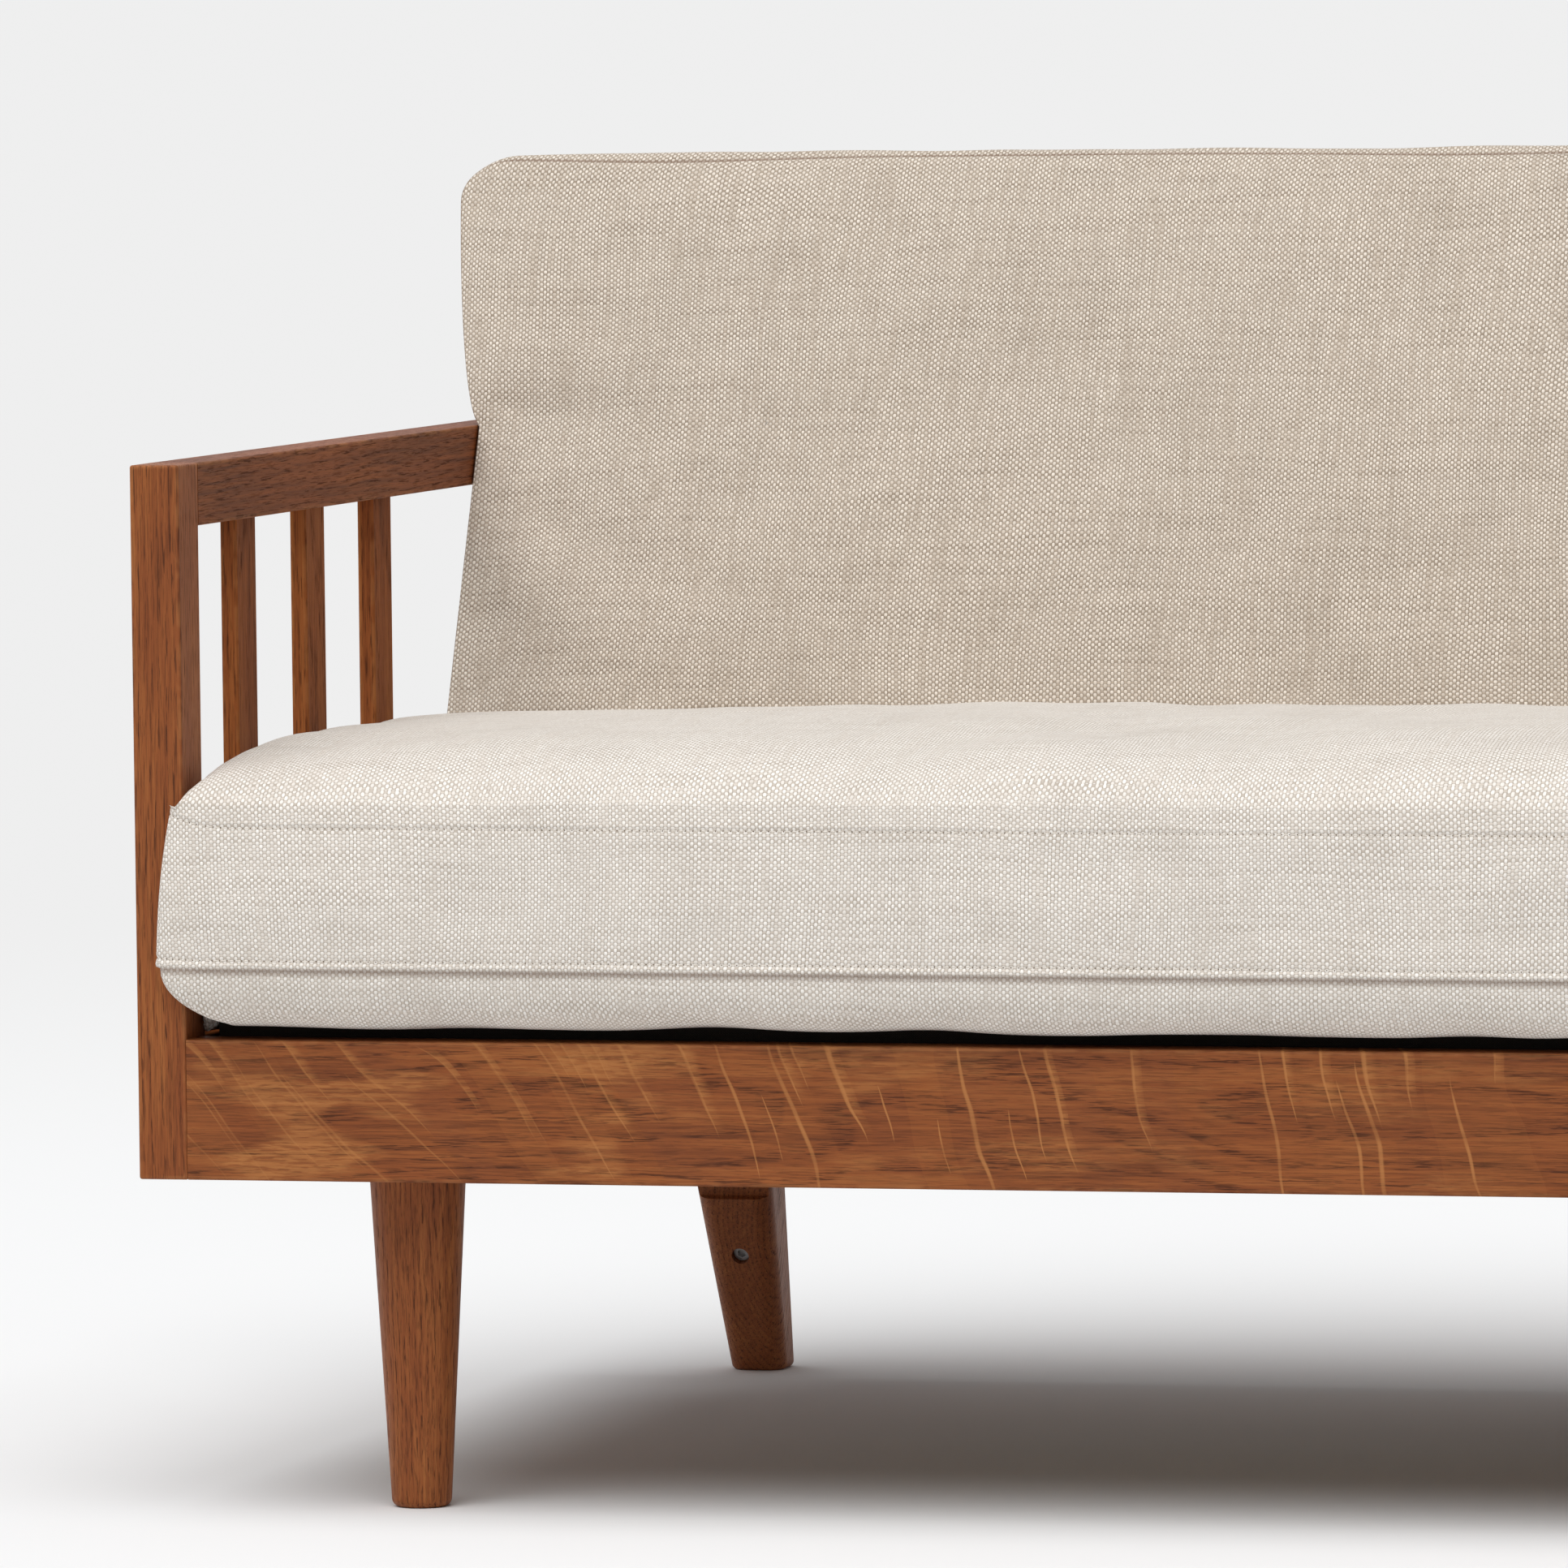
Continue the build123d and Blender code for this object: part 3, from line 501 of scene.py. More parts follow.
def makeLinen(name, colours, lean=0.0):
    material, tree, shader = newMaterial(name, roughness=linens["roughness"], specular=linens["gloss"])
    shader.inputs["Sheen Weight"].default_value = linens["fuzz"]
    shader.inputs["Sheen Roughness"].default_value = linens["fuzzRoughness"]

    def leaned(source):
        turned = addNode(tree, "ShaderNodeVectorRotate", rotation_type="X_AXIS")
        feed(tree, turned.inputs["Vector"], source)
        turned.inputs["Angle"].default_value = lean
        return turned.outputs[0]

    place = leaned(objectPlace(tree))
    normal = leaned(addNode(tree, "ShaderNodeNewGeometry").outputs["Normal"])
    weave = useGroup(tree, plainWeave, Vector=place, Normal=normal, Pitch=linens["pitch"],
                     Warp=colours["warp"], Weft=colours["weft"], Gap=colours["gap"], Slubs=linens["slubs"])
    upright = ease(tree, cloud(tree, place, (90, 90, 6), 2.0, 0.6), 0.5, 0.8, 0.0, linens["streaks"])
    level = ease(tree, cloud(tree, place, (5, 140, 140), 2.0, 0.6), 0.5, 0.8, 0.0, linens["streaks"])
    clouds = ease(tree, cloud(tree, place, (14, 14, 14), 3.0, 0.62), 0.45, 0.78, 0.0, linens["clouds"])
    colour = weave["Color"]
    for mask in (upright, level, clouds):
        colour = mixed(tree, mask, colour, colours["gap"])
    # Painted shade in the seams and under the seat's lower lip, read from the mesh
    seam = addNode(tree, "ShaderNodeAttribute", attribute_name="paintedSeamShade").outputs["Fac"]
    colour = mixed(tree, maths(tree, "MULTIPLY", seam, linens["seamShade"]), colour, linens["seam"])
    feed(tree, shader.inputs["Base Color"], colour)
    bumped(tree, shader, weave["Height"], 0.7, 0.0006)
    return material


seatLinen = makeLinen("seat_linen", linens["seat"])
backLinen = makeLinen("back_linen", linens["back"], backLean)

# Plain finishes of the hidden parts
blackCloth = {
    "warp": (0.030, 0.025, 0.020), "weft": (0.022, 0.018, 0.014), "gap": (0.006, 0.005, 0.004),
    "pitch": 0.0008,
}
juteWeb = {"warp": (0.46, 0.33, 0.19), "weft": (0.36, 0.25, 0.14), "gap": (0.12, 0.08, 0.04), "pitch": 0.0026}
paleWood = {"dark": (0.56, 0.40, 0.23), "light": (0.72, 0.55, 0.36)}
zincSteel = {"dark": (0.23, 0.23, 0.235), "light": (0.50, 0.49, 0.48)}


def makeCloth(name, cloth):
    material, tree, shader = newMaterial(name, roughness=0.9, specular=0.2)
    normal = addNode(tree, "ShaderNodeNewGeometry").outputs["Normal"]
    weave = useGroup(tree, plainWeave, Vector=objectPlace(tree), Normal=normal, Pitch=cloth["pitch"],
                     Warp=cloth["warp"], Weft=cloth["weft"], Gap=cloth["gap"], Slubs=0.4)
    feed(tree, shader.inputs["Base Color"], weave["Color"])
    bumped(tree, shader, weave["Height"], 0.5, 0.0004)
    return material


def makePaleWood():
    material, tree, shader = newMaterial("pale_batten", roughness=0.7)
    streaks = cloud(tree, objectPlace(tree), (9, 120, 220), 3.0, 0.6)
    colour = mixed(tree, ease(tree, streaks, 0.3, 0.7), paleWood["dark"], paleWood["light"])
    feed(tree, shader.inputs["Base Color"], colour)
    bumped(tree, shader, streaks, 0.2, 0.0003)
    return material


def makeSteel():
    material, tree, shader = newMaterial("zinc_steel", metallic=1.0)
    marks = cloud(tree, objectPlace(tree), (900, 900, 900), 3.0)
    feed(tree, shader.inputs["Base Color"], mixed(tree, marks, zincSteel["dark"], zincSteel["light"]))
    feed(tree, shader.inputs["Roughness"], ease(tree, marks, 0.2, 0.8, 0.3, 0.5))
    return material


finishes = {
    "black_cloth": makeCloth("black_cloth", blackCloth),
    "jute_web": makeCloth("jute_web", juteWeb),
    "pale_batten": makePaleWood(),
    "zinc_steel": makeSteel(),
}
for name, part in nodes.items():
    if slotOf[name] in finishes:
        dress(part, finishes[slotOf[name]])
print("linen, battens, webbing and steel finished")


# A cushion is a net of closed loops, from the middle of one panel over the boxing to the other
def smooth(share):
    share = np.clip(share, 0, 1)
    return share * share * (3 - 2 * share)


def fillOut(distance, reach, quickShare=0.0, quickReach=0.01):
    # How full the filling stands at a distance from a seam: 0 on it, 1 from reach inwards.
    # The quick share is the part that bulges up within a thumb's width of the seam.
    share = np.clip(distance / reach, 0, 1)
    slow = (1 - (1 - share) ** 2.5) ** (0.9 if quickShare else 0.75)
    return quickShare * (1 - np.exp(-np.maximum(distance, 0) / quickReach)) + (1 - quickShare) * slow


def netLoop(half, near, far, corners, longSteps, sideShares, cornerSteps):
    # A rounded rectangle that starts at the near left corner and runs along the near side.
    nearCorner, farCorner = corners
    shares = np.linspace(-1, 1, longSteps, endpoint=False)
    nearRun, farRun = (half - nearCorner) * shares, (half - farCorner) * shares
    turn = np.linspace(0, math.pi / 2, cornerSteps, endpoint=False)
    rise = near + nearCorner + (far - near - nearCorner - farCorner) * sideShares
    nearSin, nearCos = nearCorner * np.sin(turn), nearCorner * np.cos(turn)
    farSin, farCos = farCorner * np.sin(turn), farCorner * np.cos(turn)
    side = np.full_like(rise, half)
    across = [nearRun, half - nearCorner + nearSin, side, half - farCorner + farCos,
              -farRun, -(half - farCorner) - farSin, -side, -(half - nearCorner) - nearCos]
    along = [np.full_like(nearRun, near), near + nearCorner - nearCos, rise, far - farCorner + farSin,
             np.full_like(farRun, far), far - farCorner + farCos, rise[::-1], near + nearCorner - nearSin]
    return np.concatenate(across), np.concatenate(along)


def softNoise(points, stretch, seed):
    # Smooth noise between about -1 and 1 at each point of a net.
    flat = points.reshape(-1, 3) * np.array(stretch) + seed
    values = [noise.noise(Vector(place)) for place in flat.tolist()]
    return np.array(values).reshape(points.shape[:2])


def netPiece(name, grid, marks):
    # The net as a mesh: grid is rows x columns x 3, and both end rows close on themselves.
    rows, columns = grid.shape[:2]
    row, column = np.meshgrid(np.arange(rows - 1), np.arange(columns), indexing="ij")
    following = (column + 1) % columns
    faces = np.stack([row * columns + column, row * columns + following,
                      (row + 1) * columns + following, (row + 1) * columns + column], axis=-1)
    mesh = bpy.data.meshes.new(name)
    mesh.from_pydata(grid.reshape(-1, 3).tolist(), [], faces.reshape(-1, 4).tolist())
    # How strongly each row is painted with seam shade
    seam = mesh.attributes.new("paintedSeamShade", "FLOAT", "POINT")
    seam.data.foreach_set("value", np.repeat(marks, columns))
    work = bmesh.new()
    work.from_mesh(mesh)
    bmesh.ops.remove_doubles(work, verts=work.verts, dist=0.0002)
    return finishMesh(name, work, mesh)


def finishMesh(name, work, mesh):
    bmesh.ops.recalc_face_normals(work, faces=work.faces)
    for face in work.faces:
        face.smooth = True
    work.to_mesh(mesh)
    work.free()
    piece = bpy.data.objects.new(name, mesh)
    bpy.context.scene.collection.objects.link(piece)
    return piece


# The cloth: how hard it is blown up and for how long, how stiff it is, how coarse its net is, which folds
# are kept, counted along one round, and how many columns or rows from a turn or a seam they fade in
clothRun = {
    "pressure": 4.0, "frames": 20, "quality": 6, "mass": 0.25, "stretch": 18, "shear": 6, "bend": 0.6,
    "growth": 0.012, "cap": 0.026, "rowStep": 3, "columnStep": 6, "finest": 55, "broadest": 10,
    "turnReach": 26, "seamReach": 5,
}


def puffed(grid, pinned):
    # Blows a coarse copy of the net up as cloth and returns how far each point of the net moves.
    rows = sorted({*range(0, len(grid), clothRun["rowStep"]), *pinned, len(grid) - 1})
    columns = np.arange(0, grid.shape[1], clothRun["columnStep"])
    coarse = grid[np.ix_(rows, columns)]
    count = len(columns)
    faces = []
    for low in range(0, count * (len(rows) - 1), count):
        high = low + count
        for column in range(count):
            following = (column + 1) % count
            faces.append((low + column, low + following, high + following, high + column))
    mesh = bpy.data.meshes.new("puff")
    mesh.from_pydata(coarse.reshape(-1, 3).tolist(), [], faces)
    bag = bpy.data.objects.new("puff", mesh)
    bpy.context.scene.collection.objects.link(bag)
    held = bag.vertex_groups.new(name="held")
    for i, row in enumerate(rows):
        if row in pinned or i in (0, len(rows) - 1):
            held.add(list(range(i * count, (i + 1) * count)), 1.0, "REPLACE")
    cloth = bag.modifiers.new("cloth", "CLOTH")
    cloth.settings.quality = clothRun["quality"]
    cloth.settings.mass = clothRun["mass"]
    cloth.settings.tension_stiffness = clothRun["stretch"]
    cloth.settings.compression_stiffness = clothRun["stretch"]
    cloth.settings.shear_stiffness = clothRun["shear"]
    cloth.settings.bending_stiffness = clothRun["bend"]
    cloth.settings.shrink_min = -clothRun["growth"]
    cloth.settings.use_pressure = True
    cloth.settings.uniform_pressure_force = clothRun["pressure"]
    cloth.settings.vertex_group_mass = "held"
    cloth.settings.effector_weights.gravity = 0
    cloth.point_cache.frame_start, cloth.point_cache.frame_end = 1, clothRun["frames"]
    for step in range(1, clothRun["frames"] + 1):
        bpy.context.scene.frame_set(step)
    settled = bag.evaluated_get(bpy.context.evaluated_depsgraph_get()).to_mesh()
    places = np.empty(len(settled.vertices) * 3)
    settled.vertices.foreach_get("co", places)
    moved = places.reshape(coarse.shape) - coarse
    bpy.context.scene.frame_set(1)
    bpy.data.objects.remove(bag)
    bpy.data.meshes.remove(mesh)
    length = np.linalg.norm(moved, axis=-1, keepdims=True)
    moved *= np.minimum(1, clothRun["cap"] / np.maximum(length, 1e-9))
    # Spread the coarse movement over every row and column of the net
    byRow = np.empty((len(grid), count, 3))
    for column in range(count):
        for axis in range(3):
            byRow[:, column, axis] = np.interp(np.arange(len(grid)), rows, moved[:, column, axis])
    spread = np.empty_like(grid)
    period = grid.shape[1]
    for row in range(len(grid)):
        for axis in range(3):
            spread[row, :, axis] = np.interp(np.arange(period), columns, byRow[row, :, axis], period=period)
    return spread


def awayFromTurns(count, layout, reach):
    # 0 in the columns where the net turns a corner, 1 from reach columns on.
    longSteps, sideShares, cornerSteps = layout
    starts = np.cumsum([longSteps, cornerSteps + len(sideShares), cornerSteps + longSteps,
                        cornerSteps + len(sideShares)])
    column = np.arange(count)[:, None]
    gap = np.maximum(starts - column, column - starts - cornerSteps)
    wrapped = np.minimum(gap, np.maximum(starts - column - count, column + count - starts - cornerSteps))
    return smooth(wrapped.min(axis=1) / reach)


def wrinkled(grid, pinned, amount, layout):
    # The folds of the blown-up cloth, without its broad swell, which the net already has.
    waves = np.fft.rfft(puffed(grid, pinned), axis=1)
    turns = np.arange(waves.shape[1])
    kept = np.exp(-(turns / clothRun["finest"]) ** 2) * (1 - np.exp(-(turns / clothRun["broadest"]) ** 2))
    folds = np.fft.irfft(waves * kept[None, :, None], grid.shape[1], axis=1)
    rows = np.arange(len(grid))
    for _ in range(3):
        folds[1:-1] = (folds[:-2] + 2 * folds[1:-1] + folds[2:]) / 4
    still = np.min([np.abs(rows - row) for row in (*pinned, rows[-1])], axis=0)
    folds = folds * awayFromTurns(grid.shape[1], layout, clothRun["turnReach"])[None, :, None]
    return grid + folds * (amount * np.clip(still / clothRun["seamReach"], 0, 1))[:, None, None]


# The seat cushion, in metres: how far it stands before the posts, its seams above the deck, how high and
# over what runs the filling rises, the nose that swells past the posts, and the lips and grooves of its seams
seatPillow = {
    "overhang": 0.0220, "lowerSeam": 0.0320, "topSeam": 0.1160, "rearDrop": 0.0120, "softGap": 0.0004,
    "crown": 0.0541, "rearCrown": 0.0500, "frontRun": 0.254, "rearRun": 0.300, "endRun": 0.497,
    "endQuick": (0.689, 0.0070), "frontQuick": (0.453, 0.0182), "fullness": 0.754, "rearFullness": 0.92,
    "pressedFrom": 0.13, "pressedRun": 0.14, "underRun": 0.038, "corner": 0.018, "belly": 0.0016,
    "bandLean": 0.0028, "ear": 0.0172, "earFade": 0.0089, "earRun": 0.05, "earTuck": 0.03,
    "lip": 0.0008, "lipWidth": 0.0012, "lipTop": 0.0014, "lipRun": 0.03, "tuck": 0.0024, "seamDepth": 0.0012,
    "groove": 0.0004, "grooveWidth": 0.0009, "stitchDrop": 0.0044,
    "sag": 0.0040, "sagRun": 0.024, "endSag": 0.0093, "endSagRun": 0.006, "clear": 0.0008,
    "tightEnd": 0.95, "tightRun": 0.028, "cornerLift": 0.0058, "liftRun": 0.035, "liftDepth": 0.02,
    "dents": 0.0022, "bandDents": 0.0018, "longSteps": 420, "cornerSteps": 10,
}


def seatNet():
    s = seatPillow
    half = armInside - s["softGap"]
    front = postFront - s["softGap"] - s["overhang"]
    back = seatHigh.y
    lower, top = deckTop + s["lowerSeam"], deckTop + s["topSeam"]
    sideShares = np.unique(np.concatenate([np.linspace(0, 0.05, 14), np.linspace(0.05, 1, 130)]))
    layout = (s["longSteps"], sideShares, s["cornerSteps"])
    earHalf = s["overhang"] / 2
    deckFront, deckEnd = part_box("deck_cover")[0].y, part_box("deck_cover")[1].x

    def topSeamZ(y, x):
        # The seam drops towards the back and lifts at the front corners.
        atCorner = np.clip(1 - (half - np.abs(x)) / s["liftRun"], 0, 1.4) ** 2
        atCorner *= np.clip((postFront + 0.012 - y) / s["liftDepth"], 0, 1)
        drop = s["rearDrop"] * np.clip((y - front) / (back - front), 0, 1)
        return top - drop + s["cornerLift"] * atCorner

    def lowest(y, x):
        # Before the deck the filling sags a little, and beside it somewhat more.
        before = (deckFront - s["clear"] - y) / s["sagRun"]
        beside = np.clip((np.abs(x) - deckEnd - 0.0006) / s["endSagRun"], 0, 1)
        beside *= np.clip((y - postFront - 0.008) / 0.02, 0, 1)
        return seatLow.z - np.maximum(s["sag"] * smooth(before), s["endSag"] * smooth(beside))

    def tightened(x, y):
        # Behind the posts the arms hold the ends full down to the deck.
        held = s["tightEnd"] * np.clip((y - postFront - 0.004) / s["tightRun"], 0, 1)
        away = half - np.abs(x)
        inner = s["underRun"]
        pulled = away - held * inner * np.clip(2 - away / inner, 0, 1)
        moved = np.where(away < inner, away * (1 - held), pulled)
        return np.where(away >= 0, np.sign(x) * (half - moved), x)

    def loop(inset, ear, shift=0.0):
        # ear: how far the nose swells past the inner faces of the arms, in front of the posts
        corner = max(s["corner"] - inset, 0.0004)
        x, y = netLoop(half - inset, front + inset + shift, back - inset, (corner, corner), *layout)
        place = (y - (postFront - earHalf)) / earHalf
        atEnd = np.clip(1 - (half - inset - np.abs(x)) / s["earRun"], 0, 1)
        swell = ear * np.sqrt(np.clip(1 - place ** 2, 0, 1)) * atEnd * max(0.0, 1 - inset / s["earTuck"])
        return x + np.sign(x) * swell, y

    rows, marks = [], []

    def addRow(x, y, z, mark=0.0):
        rows.append(np.stack([x, y, z * np.ones_like(x)], -1))
        marks.append(mark)

    spine = (back - front) / 2
    for inset in np.concatenate([np.linspace(spine, 0.07, 14), np.linspace(0.06, s["underRun"], 4)]):
        x, y = loop(inset, 0)
        x = tightened(x, y)
        addRow(x, y, lowest(y, x))
    for angle in np.linspace(0, math.pi / 2, 14)[1:]:
        inset = s["underRun"] * (1 - math.sin(angle)) + s["tuck"] * math.sin(angle) ** 8
        x, y = loop(inset, s["ear"] * math.sin(angle) ** 2)
        x = tightened(x, y)
        z = lower - s["seamDepth"] - (lower - lowest(y, x) - s["seamDepth"]) * math.cos(angle)
        # The underside row just under the lower seam's lip is painted dark as the lip's shade
        addRow(x, y, z, 0.85 if angle > 1.5 else 0)
    pinned = [len(rows) - 1]
    # The band: a lip over the lower seam, two stitched lines, a slight belly, a ridge at the top seam
    tall = s["topSeam"] - s["lowerSeam"]
    stitchRows = {}
    edge = [0.0, 0.0006, 0.0014, 0.0024, 0.0033, 0.0039, 0.0044, 0.0049, 0.0056, 0.0070, 0.0095]
    middle = np.linspace(0.0135, tall - 0.0135, 17)
    for rise in np.array(edge + list(middle) + [tall - e for e in edge[::-1]]):
        fromSeam = min(rise, tall - rise)
        share = rise / tall
        proud = s["lip"] * math.exp(-((fromSeam - s["lipTop"]) / s["lipWidth"]) ** 2)
        groove = s["groove"] * math.exp(-((fromSeam - s["stitchDrop"]) / s["grooveWidth"]) ** 2)
        bulge = s["belly"] * math.sin(math.pi * share) + (proud if rise < tall / 2 else 0.6 * proud) - groove
        x, y = loop(0.0, s["ear"] - s["earFade"] * share, s["bandLean"] * share)
        outward = bulge - s["lip"] - 0.0004
        x = x + np.sign(x) * (outward - 0.8 * proud) * np.clip(1 - (half - np.abs(x)) / s["lipRun"], 0, 1)
        y = y - outward * np.cos(np.clip((y - front) / (back - front), 0, 1) * math.pi)
        z = lower + rise * (topSeamZ(y, x) - lower) / tall
        if abs(fromSeam - s["stitchDrop"]) < 1e-6:
            stitchRows["lower" if rise < tall / 2 else "upper"] = len(rows)
        # The band's lowest row is painted a little darker as shade at the lower seam
        addRow(x, y, z, 0.35 if fromSeam < 1e-6 and rise < tall / 2 else 0)
    pinned += [pinned[0] + 1, len(rows) - 1]
    edgeInsets = [0.0006, 0.0012, 0.0020, 0.0030, 0.0044, 0.0064, 0.0092]
    for inset in np.concatenate([edgeInsets, np.linspace(0.013, 0.06, 12), np.linspace(0.068, spine, 34)]):
        x, y = loop(inset, s["ear"] - s["earFade"], s["bandLean"])
        ends = fillOut(half - np.abs(x), s["endRun"], *s["endQuick"]) ** s["fullness"]
        fronts = s["crown"] * fillOut(y - front, s["frontRun"], *s["frontQuick"]) ** s["fullness"]
        # The back cushion presses the rear part down
        backs = s["rearCrown"] * fillOut(back - y, s["rearRun"]) ** s["rearFullness"]
        free = np.clip((back - y - s["pressedFrom"]) / s["pressedRun"], 0, 1)
        backs = backs + (s["crown"] - s["rearCrown"]) * free
        addRow(x, y, topSeamZ(y, x) + 0.0004 + ends * np.minimum(fronts, backs))
    return np.array(rows), np.array(marks), pinned, stitchRows, layout


def settleSeat(grid):
    # Soft dents of a used filling on the top, and smaller ones in the front of the band.
    s = seatPillow
    dents = softNoise(grid, (6.0, 8.0, 6.0), 3.1) + 0.5 * softNoise(grid, (15.0, 19.0, 15.0), 8.4)
    above = np.clip((grid[..., 2] - deckTop - s["topSeam"] - 0.004) / 0.025, 0, 1)
    grid[..., 2] += dents * s["dents"] * above
    facing = np.clip((postFront - grid[..., 1] - 0.012) / 0.006, 0, 1) * (1 - above)
    inBand = np.clip((grid[..., 2] - deckTop - s["lowerSeam"] - 0.006) / 0.02, 0, 1)
    inBand *= np.clip((deckTop + s["topSeam"] - 0.006 - grid[..., 2]) / 0.02, 0, 1)
    grid[..., 1] -= softNoise(grid, (9.0, 3.0, 22.0), 5.7) * s["bandDents"] * facing * inBand
    return grid


def makeSeatCushion():
    grid, marks, pinned, stitchRows, layout = seatNet()
    rows = np.arange(len(grid))
    inBand = (rows > pinned[0]) & (rows < pinned[-1])
    grid = wrinkled(grid, pinned, np.where(inBand, 0.35, 0.75), layout)
    grid = settleSeat(grid)
    piece = netPiece("seat_cushion_cover", grid, marks)
    piece.data.materials.append(seatLinen)
    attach(piece, "seat_cushion")
    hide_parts("seat_cushion")
    return grid, stitchRows


# The back cushion, in metres: its thickness and crown, its corners and seams, its spread over the arms,
# how its ends are pushed out, how much its filling is uneven, and where its top seam dips and its boxing
# swells, each with its middle, half width and height
backPillow = {
    "thickness": 0.134, "crown": 0.016, "crownRun": 0.240, "topCorner": 0.036, "lowCorner": 0.005,
    "rest": 0.0006, "backSeam": 0.013, "underRun": 0.032, "softGap": 0.0004, "edgeInset": 0.0046,
    "frontInset": 0.0034, "lowDrop": 0.0046, "dropRun": 0.06, "puffRun": 0.0035, "roll": 0.0018,
    "topBelly": 0.0056, "sideBelly": 0.0012, "spread": 0.0292, "spreadRun": 0.150, "endPush": 0.0080,
    "sidePush": 0.0034, "pushRun": 0.06, "uneven": 0.0024, "endUneven": 0.0016, "endRun": 0.25,
    "topWave": 0.0014, "shift": 0.012, "longSteps": 420, "cornerSteps": 18,
    "seamDips": ((-0.80, 0.09, 0.0030), (-0.31, 0.06, 0.0014), (0.22, 0.10, 0.0022), (0.71, 0.07, 0.0020)),
    "topSwells": ((-0.745, 0.05, 0.0018), (-0.245, 0.06, 0.0026), (0.38, 0.08, 0.0020)),
}


def backFrame():
    # Where the back's slope meets the deck, and the CAD cushion's reach along the slope.
    up = Vector((0, math.sin(backLean), math.cos(backLean)))
    outward = Vector((0, -math.cos(backLean), math.sin(backLean)))
    low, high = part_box("back_center_stile")
    tall, deep = high.z - low.z, high.y - low.y
    sine, cosine = math.sin(backLean), math.cos(backLean)
    thick = (deep * cosine - tall * sine) / (cosine ** 2 - sine ** 2)
    base = Vector((0, low.y - (low.z - deckTop + thick * sine) / cosine * sine, deckTop))
    reach = [(vertex.co - base).dot(up) for vertex in nodes["back_cushion"].data.vertices]
    return base, up, outward, min(reach), max(reach)


def hills(x, places):
    return sum(tall * np.exp(-((x - middle) / wide) ** 2) for middle, wide, tall in places)


